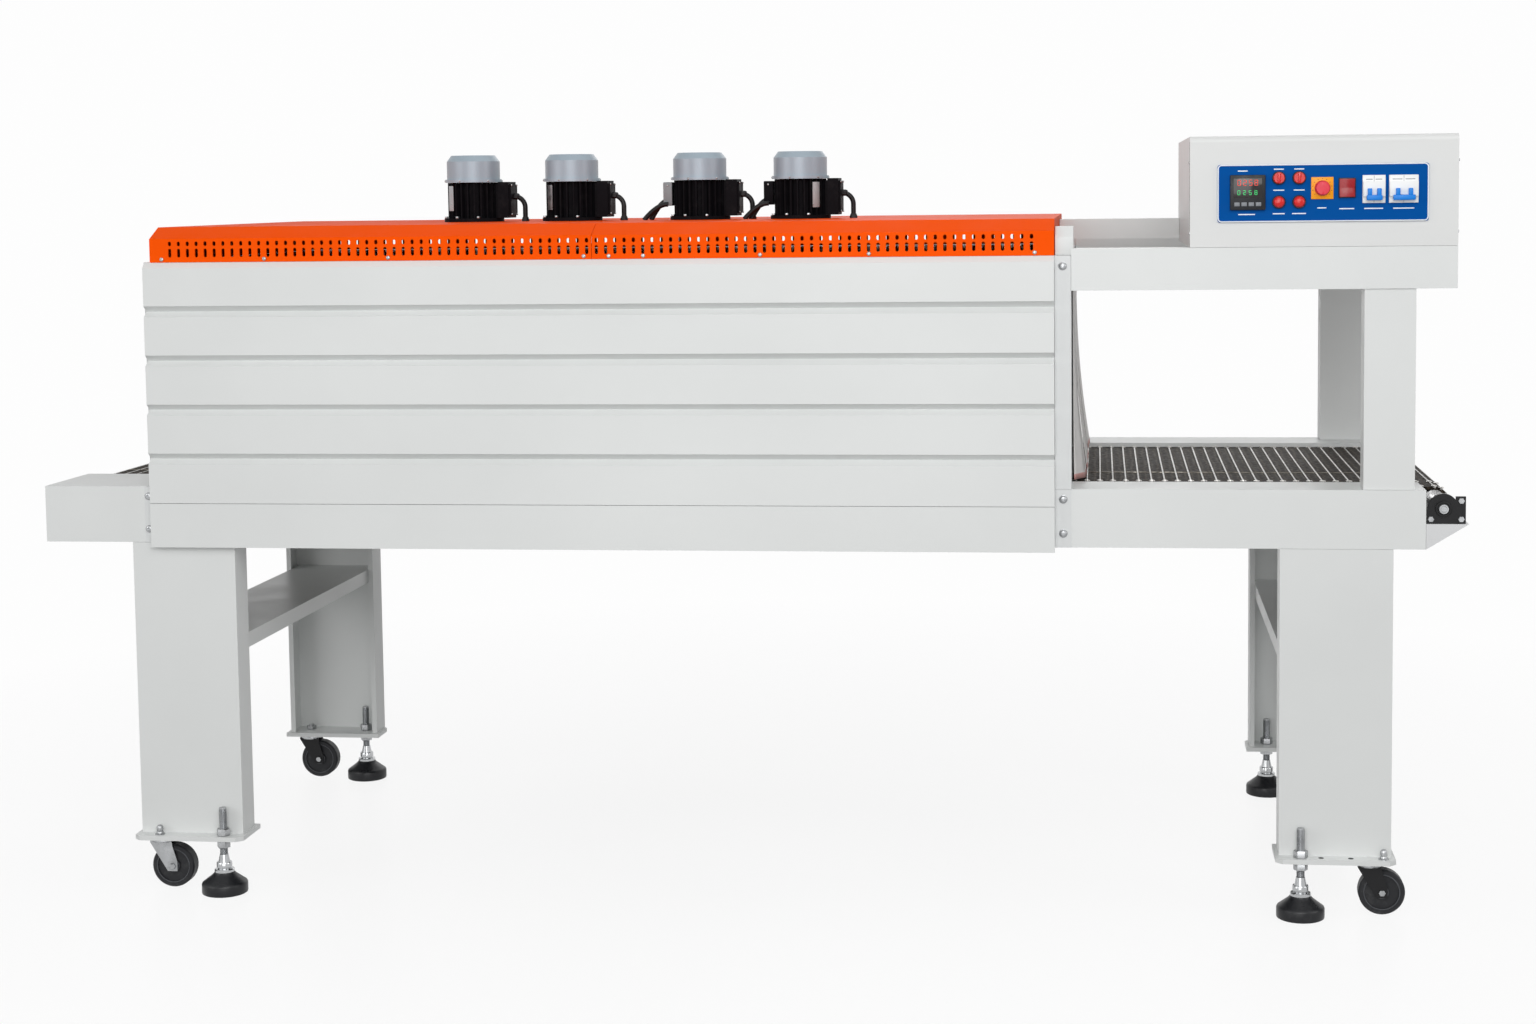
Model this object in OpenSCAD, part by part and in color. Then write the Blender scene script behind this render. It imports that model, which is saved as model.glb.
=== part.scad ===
// Heat shrink tunnel with a mesh conveyor, four blowers and a control box.
// All sizes are in millimetres.

/* [Tunnel] */
// Length of the tunnel housing between its end frames
tunnel_length = 1966; // [1200:1:2600]
// Width of the tunnel housing from front skin to back skin
tunnel_width = 1119; // [800:1:1400]
// Height of the top edge of the housing above the floor
tunnel_top = 1387; // [1200:1:1600]
// Height of the lower edge of the side skins above the floor
skirt_bottom = 766; // [600:1:800]
// Height of the lower side skins up to the thin seam under the walls
skirt_height = 96.5; // [60:0.5:120]
// Thickness of each insulated side wall
wall_thickness = 157; // [80:1:220]
// Thickness of the roof between ceiling and cover
roof_thickness = 74; // [60:1:120]
// Height of one V groove in the side wall
groove_height = 24; // [10:1:40]
// Depth of one V groove in the side wall
groove_depth = 16; // [5:1:25]
// Height of the centre of the lowest groove
first_groove = 960; // [920:1:1000]
// Spacing of the grooves
groove_pitch = 107; // [80:1:130]
// Thickness of each end frame along the tunnel
end_frame_depth = 34; // [15:1:60]
// Thickness of painted sheet
sheet = 4; // [2:0.5:8]

/* [Cover] */
// Height of the upright face of the cover
cover_face = 51; // [30:1:90]
// Set-back of the sloping edge of the cover
cover_chamfer_depth = 54; // [20:1:100]
// Rise of the sloping edge of the cover
cover_chamfer_rise = 25; // [10:1:60]
// Set-back of the cover from the skins of the housing
cover_inset = 12; // [5:1:30]
// Spacing of the slots along the cover
slot_pitch = 20; // [15:0.5:40]
// Width of one slot
slot_width = 7; // [4:0.5:12]
// Height of a slot in the lower row
tall_slot = 19; // [12:0.5:24]
// Height of a slot in the upper row
short_slot = 10; // [8:0.5:14]

/* [Blowers] */
// Diameter of the fan cap of a blower motor
cap_diameter = 124; // [90:1:180]
// Height of the fan cap
cap_height = 63; // [40:1:90]
// Diameter over the cooling fins
fin_diameter = 121; // [80:1:170]
// Height of the finned body
fin_body_height = 84; // [50:1:140]
// Number of cooling fins around one motor
fin_count = 24; // [12:1:36]
// Diameter of the base flange of a motor
motor_flange_diameter = 140; // [100:1:200]
// Distance of the two inner motors from the middle of the tunnel
inner_motor_offset = 152; // [100:1:250]
// Distance of the two outer motors from the middle of the tunnel
outer_motor_offset = 388; // [300:1:600]

/* [Conveyor] */
// How far the conveyor reaches beyond the tunnel at the infeed
infeed_reach = 246; // [150:1:600]
// How far the side beams reach beyond the tunnel at the outfeed
outfeed_reach = 761; // [600:1:1400]
// Height of the side beam's lower edge above the floor
beam_bottom = 775; // [650:1:850]
// Height of the side beam's upper edge above the floor
beam_top = 898; // [850:1:950]
// Height of the belt's upper face above the floor
belt_height = 890; // [840:1:940]
// Radius of an end roller
roller_radius = 22; // [15:1:45]
// Thickness of the woven belt
belt_thickness = 6; // [3:0.5:12]
// Spacing of the cross rods in the belt
rod_pitch = 28; // [15:0.5:50]
// Diameter of a cross rod
rod_diameter = 7; // [3:0.5:10]
// Diameter of the shaft through an end roller
shaft_diameter = 20; // [12:1:35]

/* [Legs] */
// Width of a leg's channel along the tunnel
leg_width = 231; // [120:1:300]
// Depth of a leg channel's flanges
leg_depth = 73; // [40:1:120]
// Height of the top of a leg's base plate above the floor
plate_top = 127; // [110:1:160]
// Thickness of a base plate
plate_thickness = 10; // [6:1:20]
// Height of the upper face of the left stretcher
stretcher_height = 558; // [300:1:650]
// Height of a stretcher's section
stretcher_depth = 34; // [20:1:80]

/* [Feet and casters] */
// Diameter of a levelling foot's pad
pad_diameter = 100; // [60:1:140]
// Diameter of a levelling foot's stud
stud_diameter = 16; // [12:1:24]
// Diameter of a caster wheel
caster_diameter = 96; // [75:1:100]
// Width of a caster wheel
caster_width = 30; // [20:1:40]
// Trail of a caster wheel behind its swivel axis
caster_trail = 24; // [15:1:40]

/* [Control box] */
// Length of the control box
box_length = 541; // [400:1:700]
// Depth of the control box from front to back
box_depth = 744; // [400:1:900]
// Height of the lower face of the control box above the floor
box_bottom = 1401; // [1300:1:1500]
// Height of the control box
box_height = 228; // [180:1:320]
// How far the control box reaches beyond the outfeed end of the side beams
box_overhang = 59; // [0:1:90]
// Length of the control panel
panel_length = 425; // [300:1:520]
// Height of the control panel
panel_height = 118; // [90:1:180]
// Height of the upper beams' section
upper_beam_height = 87; // [50:1:120]
// Length of a post's section
post_width = 104; // [60:1:140]

/* [Curtains] */
// Thickness of one curtain
curtain_thickness = 6; // [3:0.5:12]
// How far a curtain's lower edge swings outward
curtain_flare = 42; // [0:1:60]

/* [Hidden] */
$fn = 48;

over = 1;
seam_height = skirt_bottom + skirt_height;
ceiling_height = tunnel_top - roof_thickness;
beam_end = tunnel_length + outfeed_reach;
box_end = beam_end + box_overhang;
box_top = box_bottom + box_height;
gap = 0.5;
skin_bevel = 12;
infeed_end = -infeed_reach;
tray_reach = 87;
tray_end = beam_end + tray_reach;
leg_face = 18;
back_face = tunnel_width - leg_face;
foot_reach = 17;
foot_line = leg_face - foot_reach;
foot_front = foot_line - pad_diameter / 2;
mid_x = (infeed_end + tray_end) / 2;
mid_y = (foot_front + tunnel_width) / 2;
centre_y = tunnel_width / 2;
cover_bottom = tunnel_top;
cover_shoulder = cover_bottom + cover_face;
cover_top = cover_shoulder + cover_chamfer_rise;
cover_start = 13;
seam_shift = 6;
cover_split = tunnel_length / 2 + seam_shift;
cover_front = cover_inset;
cover_back = tunnel_width - cover_inset;
slot_margin = 40;
upper_slot_rise = 40;
lower_slot_rise = 20;
motor_places = [tunnel_length / 2 - outer_motor_offset, tunnel_length / 2 - inner_motor_offset, tunnel_length / 2 + inner_motor_offset, tunnel_length / 2 + outer_motor_offset];
motor_flange_height = 8;
fin_depth = 13;
fin_thickness = 3.4;
cap_base = cover_top + motor_flange_height + fin_body_height;
cap_chamfer_rise = 14;
cap_chamfer_depth = 10.6;
terminal_height = 84;
terminal_width = 74;
terminal_reach = 35;
terminal_base = cover_top + motor_flange_height + gap;
lead_radius = 4.5;
guard_width = 96;
guard_thickness = 3.5;
left_frame_depth = 16;
left_frame_inset = 50;
left_leg = -49;
right_leg_inset = 65;
right_leg = beam_end - leg_width - right_leg_inset;
lip = 12;
leg_top = beam_bottom;
plate_front_reach = 35;
plate_side_reach = 8;
plate_inner_depth = 88;
plate_clip = 14;
plate_bottom = plate_top - plate_thickness;
foot_inset = 39;
left_foot = left_leg + leg_width - foot_inset;
foot_shift = 5;
right_foot = right_leg + foot_inset + foot_shift;
back_foot_inset = 40;
back_foot_line = back_face - back_foot_inset;
left_caster_inset = 43;
right_caster_inset = 42;
front_caster_inset = 18;
back_caster_inset = 36;
left_caster = left_leg + left_caster_inset;
right_caster = right_leg + leg_width - right_caster_inset;
front_caster_line = leg_face + front_caster_inset;
back_caster_line = back_face - back_caster_inset;
stretcher_drop = 20;
floor_gap = 3;
wheel_height = caster_diameter / 2 + floor_gap;
stem_diameter = 12;
running_gap = 0.05;
fork_plate_thickness = 4;
fork_gap = 2;
fork_thickness = 3;
axle_diameter = 10;
panel_inset = 60;
panel_drop = 4;
panel_left = box_end - panel_inset - panel_length;
panel_bottom = box_bottom + (box_height - panel_height) / 2 - panel_drop;
panel_thickness = 3;
post_setback = 127;
post_start = beam_end - post_setback;
post_depth = 62;
slot_round = slot_width / 2;

caster_places = [[left_caster, front_caster_line], [right_caster, front_caster_line], [left_caster, back_caster_line], [right_caster, back_caster_line]];
foot_places = [[left_foot, foot_line], [right_foot, foot_line], [left_foot, back_foot_line], [right_foot, back_foot_line]];

// Moves a piece from the tunnel's front left corner to the part's own centre
module placed() {
    translate([-mid_x, -mid_y, 0]) children();
}

// Reflects a piece from the front to the back of the tunnel
module at_back() {
    translate([0, tunnel_width, 0]) mirror([0, 1, 0]) children();
}

// Stretches an outline drawn in Y and Z along the conveyor
module along(start, length) {
    translate([start, 0, 0]) rotate([90, 0, 90]) linear_extrude(length) children();
}

// Side wall
module side_wall() {
    heights = [for (i = [0:3]) first_groove + i * groove_pitch];
    points = concat(
        [[0, seam_height + gap]],
        [for (h = heights) each [[0, h - groove_height / 2], [groove_depth, h], [0, h + groove_height / 2]]],
        [[0, tunnel_top - skin_bevel], [skin_bevel, tunnel_top], [wall_thickness, tunnel_top], [wall_thickness, beam_top + gap], [leg_face - gap, beam_top + gap], [leg_face - gap, seam_height + gap]]);
    along(0, tunnel_length) polygon(points);
}

module wall_front() {
    color("whitesmoke") placed() side_wall();
}

module wall_back() {
    color("whitesmoke") placed() at_back() side_wall();
}

// Lower skin over the side beam
module skirt() {
    translate([0, 0, skirt_bottom]) cube([tunnel_length, leg_face - gap, seam_height - gap - skirt_bottom]);
}

module skirt_front() {
    color("whitesmoke") placed() skirt();
}

module skirt_back() {
    color("whitesmoke") placed() at_back() skirt();
}

// Roof with a row of air outlets in the ceiling
outlet_length = 700;
outlet_width = 24;
outlet_depth = 30;
outlet_pitch = 160;
outlet_count = 11;
module roof() {
    color("gainsboro") placed() difference() {
        translate([0, wall_thickness + gap, ceiling_height]) cube([tunnel_length, tunnel_width - 2 * (wall_thickness + gap), tunnel_top - ceiling_height]);
        for (i = [0:outlet_count - 1])
            translate([tunnel_length / 2 + (i - (outlet_count - 1) / 2) * outlet_pitch - outlet_width / 2, centre_y - outlet_length / 2, ceiling_height - over]) cube([outlet_width, outlet_length, outlet_depth + over]);
    }
}

// End frame around the goods opening
module end_frame(depth, inset) {
    difference() {
        translate([0, inset, beam_top + gap]) cube([depth, tunnel_width - 2 * inset, tunnel_top - beam_top - gap]);
        translate([-over, wall_thickness, beam_top]) cube([depth + 2 * over, tunnel_width - 2 * wall_thickness, ceiling_height - beam_top]);
    }
}

module end_frame_left() {
    color("gainsboro") placed() translate([-left_frame_depth - gap, 0, 0]) end_frame(left_frame_depth, left_frame_inset);
}

module end_frame_right() {
    color("gainsboro") placed() translate([tunnel_length + gap, 0, 0]) end_frame(end_frame_depth, leg_face);
}

// Narrow cover strips that bolt the tunnel to its side beams
strip_plate = 2;
left_strip = 18;
module joint_strips() {
    color("gainsboro") placed() union() for (y = [leg_face - strip_plate, back_face]) {
        translate([-left_strip, y, beam_bottom]) cube([left_strip, strip_plate, beam_top - beam_bottom]);
        translate([tunnel_length + gap, y, beam_bottom]) cube([end_frame_depth, strip_plate, beam_top - beam_bottom]);
    }
}

// Slotted cover over the hot air duct
module slot(height) {
    hull_height = height - slot_width;
    translate([-slot_width / 2, -hull_height / 2]) square([slot_width, hull_height]);
    for (s = [-1, 1]) translate([0, s * hull_height / 2]) circle(slot_round);
}

module slotted_face(length, seam_right) {
    count = floor((length - slot_margin - slot_pitch / 2) / slot_pitch) + 1;
    first = seam_right ? length - slot_pitch / 2 - (count - 1) * slot_pitch : slot_pitch / 2;
    difference() {
        square([length, cover_face]);
        for (i = [0:count - 1]) translate([first + i * slot_pitch, 0]) {
            translate([0, upper_slot_rise]) slot(short_slot);
            translate([0, lower_slot_rise]) slot(tall_slot);
        }
    }
}

module cover(start, length, seam_right) {
    top_points = [[cover_front, cover_shoulder], [cover_front + cover_chamfer_depth, cover_top], [cover_back - cover_chamfer_depth, cover_top], [cover_back, cover_shoulder],
        [cover_back - sheet, cover_shoulder], [cover_back - cover_chamfer_depth, cover_top - sheet], [cover_front + cover_chamfer_depth, cover_top - sheet], [cover_front + sheet, cover_shoulder]];
    along(start, length) polygon(top_points);
    for (y = [cover_front + sheet, cover_back]) translate([start, y, cover_bottom + gap]) rotate([90, 0, 0]) linear_extrude(sheet) slotted_face(length, seam_right);
}

module cover_end(start) {
    along(start, sheet) polygon([[cover_front, cover_bottom + gap], [cover_front, cover_shoulder], [cover_front + cover_chamfer_depth, cover_top], [cover_back - cover_chamfer_depth, cover_top], [cover_back, cover_shoulder], [cover_back, cover_bottom + gap]]);
}

module cover_left() {
    color("orangered") placed() union() {
        cover(cover_start, cover_split - cover_start - gap, true);
        cover_end(cover_start);
    }
}

module cover_right() {
    color("orangered") placed() union() {
        cover(cover_split + gap, tunnel_length - cover_split - gap, false);
        cover_end(tunnel_length - sheet);
    }
}

// Blower motor with upright cooling fins
module motor() {
    translate([0, 0, cover_top]) cylinder(d = motor_flange_diameter, h = motor_flange_height);
    translate([0, 0, cover_top + motor_flange_height - gap]) linear_extrude(fin_body_height) {
        circle(d = fin_diameter - 2 * fin_depth);
        for (i = [0:fin_count - 1]) rotate(i * 360 / fin_count) translate([0, -fin_thickness / 2]) square([fin_diameter / 2, fin_thickness]);
    }
}

module motor_bodies() {
    color("dimgray") placed() for (x = motor_places) translate([x, centre_y, 0]) motor();
}

// Fan cap with a ring of air slots in its top
cap_lip = 4;
cap_lip_height = 7;
cap_slot_depth = 6;
cap_slot_inner = 12;
cap_slot_length = 32;
cap_slot_width = 4;
cap_slot_count = 16;
module fan_cap() {
    difference() {
        rotate_extrude() polygon([[0, 0], [cap_diameter / 2 + cap_lip, 0], [cap_diameter / 2 + cap_lip, cap_lip_height], [cap_diameter / 2, cap_lip_height], [cap_diameter / 2, cap_height - cap_chamfer_rise], [cap_diameter / 2 - cap_chamfer_depth, cap_height], [0, cap_height]]);
        for (i = [0:cap_slot_count - 1]) rotate(i * 360 / cap_slot_count) translate([cap_slot_inner, -cap_slot_width / 2, cap_height - cap_slot_depth]) cube([cap_slot_length, cap_slot_width, cap_slot_depth + over]);
    }
}

module fan_caps() {
    color("silver") placed() for (x = motor_places) translate([x, centre_y, cap_base]) fan_cap();
}

// Terminal box on each motor and the small boxes beside the two right-hand ones
terminal_lid = 5;
terminal_lid_rim = 6;
side_box_height = 54;
side_box_width = 52;
side_box_depth = 14;
side_box_rise = 33;
side_box_base = cover_top + side_box_rise;
neck_drop = 4;
module terminal_box() {
    inner = cap_diameter / 2 + cap_lip + gap;
    outer = cap_diameter / 2 + terminal_reach;
    neck = fin_diameter / 2 + gap;
    translate([inner, -terminal_width / 2, terminal_base]) cube([outer - inner - terminal_lid, terminal_width, terminal_height]);
    translate([outer - terminal_lid - gap, -terminal_width / 2 + terminal_lid_rim, terminal_base + terminal_lid_rim]) cube([terminal_lid + gap, terminal_width - 2 * terminal_lid_rim, terminal_height - 2 * terminal_lid_rim]);
    translate([neck, -terminal_width / 2 + terminal_lid_rim, terminal_base]) cube([inner - neck + over, terminal_width - 2 * terminal_lid_rim, cap_base - neck_drop - terminal_base]);
}

module terminal_boxes() {
    color("dimgray") placed() union() {
        for (x = motor_places) translate([x, centre_y, 0]) terminal_box();
        for (i = [2, 3]) translate([motor_places[i] - fin_diameter / 2 - gap - side_box_depth, centre_y - side_box_width / 2, side_box_base]) cube([side_box_depth, side_box_width, side_box_height]);
    }
}

// Leads that arch from each terminal box down to the cover
lead_drop = 50;
side_lead_rise = 12;
lead_bend = 26;
lead_shift = 18;
elbow_radius = 6;
module lead(height) {
    translate([0, 0, height + lead_bend]) rotate([0, 90, 0]) cylinder(r = lead_radius, h = lead_bend);
    translate([lead_bend, 0, height + lead_bend]) sphere(elbow_radius);
    translate([lead_bend, 0, cover_top + gap]) cylinder(r = lead_radius, h = height + lead_bend - cover_top - gap);
}

module motor_leads() {
    color("dimgray") placed() union() {
        for (x = motor_places) translate([x + cap_diameter / 2 + terminal_reach + gap, centre_y, 0]) lead(terminal_base + lead_drop - lead_bend);
        for (i = [2, 3]) translate([motor_places[i] - fin_diameter / 2 - side_box_depth - 2 * gap, centre_y - lead_shift, 0]) mirror([1, 0, 0]) lead(side_box_base + side_lead_rise - lead_bend);
    }
}

// Side beam of the conveyor, a channel open towards the belt
beam_inner = wall_thickness;
module side_beam() {
    along(infeed_end, beam_end - infeed_end) polygon([[leg_face, beam_bottom], [leg_face, beam_top], [beam_inner, beam_top], [beam_inner, beam_top - lip], [beam_inner - sheet, beam_top - lip], [beam_inner - sheet, beam_top - sheet], [leg_face + sheet, beam_top - sheet], [leg_face + sheet, beam_bottom + sheet], [leg_face + leg_depth, beam_bottom + sheet], [leg_face + leg_depth, beam_bottom]]);
}

module side_beam_front() {
    color("whitesmoke") placed() side_beam();
}

module side_beam_back() {
    color("whitesmoke") placed() at_back() side_beam();
}

// Plates that widen the side beams' upper faces at the infeed
module infeed_guards() {
    color("whitesmoke") placed() union() for (y = [beam_inner + gap, tunnel_width - beam_inner - gap - guard_width])
        translate([infeed_end, y, beam_top - guard_thickness]) cube([infeed_reach - left_frame_depth - 2 * gap, guard_width, guard_thickness]);
}

// Slide rails under the belt's upper run, on cross bars between the side beams
rail_count = 5;
rail_width = 30;
rail_height = 12;
rail_margin = 60;
rail_end_gap = 90;
cross_bar_count = 6;
cross_bar_height = 14;
module slide_rails() {
    rail_top = roller_z + roller_radius;
    spread = belt_far - belt_near - 2 * rail_margin;
    color("gainsboro") placed() union() for (i = [0:rail_count - 1])
        translate([left_roller + rail_end_gap, belt_near + rail_margin + i * spread / (rail_count - 1) - rail_width / 2, rail_top - rail_height]) cube([right_roller - left_roller - 2 * rail_end_gap, rail_width, rail_height]);
}

module cross_bars() {
    bar_top = roller_z + roller_radius - rail_height - gap;
    reach = right_roller - left_roller - 4 * rail_end_gap;
    color("gainsboro") placed() union() for (i = [0:cross_bar_count - 1])
        translate([left_roller + 2 * rail_end_gap + i * reach / (cross_bar_count - 1) - rail_width / 2, leg_face + sheet + gap, bar_top - cross_bar_height]) cube([rail_width, tunnel_width - 2 * (leg_face + sheet + gap), cross_bar_height]);
}

// Leg channel on a base plate
stem_hole = stem_diameter + 2 * running_gap;
hole_clearance = 2;
stud_hole = stud_diameter + hole_clearance;
module leg(start, foot, foot_y, caster, caster_y, front_reach) {
    difference() {
        union() {
            translate([start, leg_face, plate_top - gap]) linear_extrude(leg_top - plate_top)
                polygon([[0, 0], [leg_width, 0], [leg_width, leg_depth], [leg_width - lip, leg_depth], [leg_width - lip, leg_depth - sheet], [leg_width - sheet, leg_depth - sheet], [leg_width - sheet, sheet], [sheet, sheet], [sheet, leg_depth - sheet], [lip, leg_depth - sheet], [lip, leg_depth], [0, leg_depth]]);
            translate([start, 0, plate_bottom]) linear_extrude(plate_thickness)
                polygon([[-plate_side_reach, leg_face - front_reach + plate_clip], [-plate_side_reach + plate_clip, leg_face - front_reach], [leg_width + plate_side_reach - plate_clip, leg_face - front_reach], [leg_width + plate_side_reach, leg_face - front_reach + plate_clip], [leg_width + plate_side_reach, leg_face + plate_inner_depth], [-plate_side_reach, leg_face + plate_inner_depth]]);
        }
        translate([foot, foot_y, plate_bottom - over]) cylinder(d = stud_hole, h = plate_thickness + 2 * over);
        translate([caster, caster_y, plate_bottom - over]) cylinder(d = stem_hole, h = plate_thickness + 2 * over);
    }
}

module leg_front_left() {
    color("whitesmoke") placed() leg(left_leg, left_foot, foot_line, left_caster, front_caster_line, plate_front_reach);
}

module leg_front_right() {
    color("whitesmoke") placed() leg(right_leg, right_foot, foot_line, right_caster, front_caster_line, plate_front_reach);
}

module leg_back_left() {
    color("whitesmoke") placed() at_back() leg(left_leg, left_foot, tunnel_width - back_foot_line, left_caster, tunnel_width - back_caster_line, sheet);
}

module leg_back_right() {
    color("whitesmoke") placed() at_back() leg(right_leg, right_foot, tunnel_width - back_foot_line, right_caster, tunnel_width - back_caster_line, sheet);
}

// Shallow channel that ties a front leg to a back leg
module stretcher(start, top) {
    inset = lip + gap;
    translate([start + inset, leg_face + sheet + gap, 0]) rotate([90, 0, 0]) mirror([0, 0, 1]) linear_extrude(tunnel_width - 2 * (leg_face + sheet + gap))
        polygon([[0, top - stretcher_depth], [0, top], [leg_width - 2 * inset, top], [leg_width - 2 * inset, top - stretcher_depth], [leg_width - 2 * inset - sheet, top - stretcher_depth], [leg_width - 2 * inset - sheet, top - sheet], [sheet, top - sheet], [sheet, top - stretcher_depth]]);
}

module stretcher_left() {
    color("whitesmoke") placed() stretcher(left_leg, stretcher_height);
}

module stretcher_right() {
    color("whitesmoke") placed() stretcher(right_leg, stretcher_height - stretcher_drop);
}

// Levelling foot with its pad, rings, stud and nuts
pad_rim = 24;
pad_top = 46;
ring_radius = 21.5;
ring_height = 10;
small_ring_radius = 17;
neck_radius = 10.5;
neck_height = 12;
stud_top = 190;
nut_size = 26;
nut_height = 16;
hex = 6;
module levelling_foot() {
    rotate_extrude() polygon([[0, 0], [pad_diameter / 2, 0], [pad_diameter / 2, pad_rim], [ring_radius, pad_top], [ring_radius, pad_top + ring_height], [small_ring_radius, pad_top + ring_height], [small_ring_radius, pad_top + 2 * ring_height], [neck_radius, pad_top + 2 * ring_height], [neck_radius, pad_top + 2 * ring_height + neck_height], [stud_diameter / 2, pad_top + 2 * ring_height + neck_height], [stud_diameter / 2, stud_top], [0, stud_top]]);
    for (z = [plate_bottom - nut_height - gap / 2, plate_top + gap / 2]) translate([0, 0, z]) cylinder(d = nut_size / cos(180 / hex), h = nut_height, $fn = hex);
}

module levelling_feet() {
    color("dimgray") placed() for (p = foot_places) translate([p[0], p[1], 0]) levelling_foot();
}

// Caster fork that swivels under a base plate
head_radius = 27;
head_height = 9;
stem_nut = 22;
stem_nut_height = 9;
fork_half_length = 20;
fork_tip = 11;
crown_top = plate_bottom - head_height;
crown_bottom = crown_top - fork_plate_thickness;
module caster_fork() {
    cheek = caster_width / 2 + fork_gap;
    translate([0, 0, crown_top - gap]) cylinder(r = head_radius, h = head_height);
    translate([0, 0, plate_bottom - gap - over]) cylinder(d = stem_diameter, h = plate_thickness + 2 * gap + 2 * over + stem_nut_height / 2);
    translate([0, 0, plate_top + gap]) cylinder(d = stem_nut, h = stem_nut_height, $fn = hex);
    translate([-head_radius + over, -cheek - fork_thickness, crown_bottom]) cube([head_radius + fork_half_length + over, 2 * (cheek + fork_thickness), fork_plate_thickness]);
    for (s = [-1, 1]) translate([0, s * (cheek + fork_thickness / 2) + fork_thickness / 2, 0]) rotate([90, 0, 0]) linear_extrude(fork_thickness)
        polygon([[-head_radius + over, crown_top - gap], [fork_half_length + over, crown_top - gap], [caster_trail + fork_tip, wheel_height + fork_tip], [caster_trail + fork_tip, wheel_height - fork_tip], [caster_trail - fork_tip, wheel_height - fork_tip], [-head_radius + over, crown_bottom]]);
    translate([caster_trail, cheek + fork_thickness + 2 * over, wheel_height]) rotate([90, 0, 0]) cylinder(d = axle_diameter, h = 2 * (cheek + fork_thickness + 2 * over));
}

// Caster wheel with a raised hub
hub_radius = 16;
hub_reach = 1;
tread_edge = 3;
module caster_wheel() {
    translate([caster_trail, 0, wheel_height]) rotate([90, 0, 0]) rotate_extrude() polygon([[axle_diameter / 2 + running_gap, -caster_width / 2 - hub_reach], [hub_radius, -caster_width / 2 - hub_reach], [hub_radius, -caster_width / 2 + tread_edge], [caster_diameter / 2 - 4 * tread_edge, -caster_width / 2 + tread_edge], [caster_diameter / 2 - 4 * tread_edge, -caster_width / 2], [caster_diameter / 2 - tread_edge, -caster_width / 2], [caster_diameter / 2, -caster_width / 2 + tread_edge],
        [caster_diameter / 2, caster_width / 2 - tread_edge], [caster_diameter / 2 - tread_edge, caster_width / 2], [caster_diameter / 2 - 4 * tread_edge, caster_width / 2], [caster_diameter / 2 - 4 * tread_edge, caster_width / 2 - tread_edge], [hub_radius, caster_width / 2 - tread_edge], [hub_radius, caster_width / 2 + hub_reach], [axle_diameter / 2 + running_gap, caster_width / 2 + hub_reach]]);
}

module at_caster(i) {
    placed() translate([caster_places[i][0], caster_places[i][1], 0]) children();
}

module caster_fork_1() {
    color("silver") at_caster(0) caster_fork();
}

module caster_fork_2() {
    color("dimgray") at_caster(1) caster_fork();
}

module caster_fork_3() {
    color("dimgray") at_caster(2) caster_fork();
}

module caster_fork_4() {
    color("dimgray") at_caster(3) caster_fork();
}

module caster_wheel_1() {
    color("dimgray") at_caster(0) caster_wheel();
}

module caster_wheel_2() {
    color("dimgray") at_caster(1) caster_wheel();
}

module caster_wheel_3() {
    color("dimgray") at_caster(2) caster_wheel();
}

module caster_wheel_4() {
    color("dimgray") at_caster(3) caster_wheel();
}

// Upper beam that carries the control box
upper_start = tunnel_length + end_frame_depth + 2 * gap;
upper_bottom = box_bottom - upper_beam_height - gap;
upper_depth = 73;
module upper_beam() {
    translate([upper_start, leg_face, upper_bottom]) cube([box_end - upper_start, upper_depth, upper_beam_height]);
}

module upper_beam_front() {
    color("whitesmoke") placed() upper_beam();
}

module upper_beam_back() {
    color("whitesmoke") placed() at_back() upper_beam();
}

// Post between the side beam and the upper beam
post_inset = 3;
post_slot_width = 12;
post_slot_height = 26;
post_slot_pitch = 60;
post_slot_depth = 8;
module post() {
    difference() {
        translate([post_start, leg_face + post_inset, beam_top + gap]) cube([post_width, post_depth, upper_bottom - beam_top - 2 * gap]);
        for (z = [upper_bottom - post_slot_pitch, upper_bottom - 2 * post_slot_pitch]) translate([post_start - over, leg_face + post_depth / 2 - post_slot_width / 2, z]) cube([post_slot_depth + over, post_slot_width, post_slot_height]);
    }
}

module post_front() {
    color("whitesmoke") placed() post();
}

module post_back() {
    color("whitesmoke") placed() at_back() post();
}

// Control box with softened upper edges, and its cross tray to the back beam
box_round = 12;
module control_box() {
    color("whitesmoke") placed() along(box_end - box_length, box_length) {
        translate([leg_face, box_bottom]) square([box_depth, box_top - box_round - box_bottom]);
        translate([leg_face + box_round, box_bottom]) square([box_depth - 2 * box_round, box_top - box_bottom]);
        for (y = [leg_face + box_round, leg_face + box_depth - box_round]) translate([y, box_top - box_round]) circle(box_round);
    }
}

// Flat control panel
panel_corner = 5;
module control_panel() {
    color("royalblue") placed() translate([panel_left, leg_face - gap, panel_bottom]) rotate([90, 0, 0]) linear_extrude(panel_thickness) {
        translate([panel_corner, 0]) square([panel_length - 2 * panel_corner, panel_height]);
        translate([0, panel_corner]) square([panel_length, panel_height - 2 * panel_corner]);
        for (x = [panel_corner, panel_length - panel_corner], z = [panel_corner, panel_height - panel_corner]) translate([x, z]) circle(panel_corner);
    }
}

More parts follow.
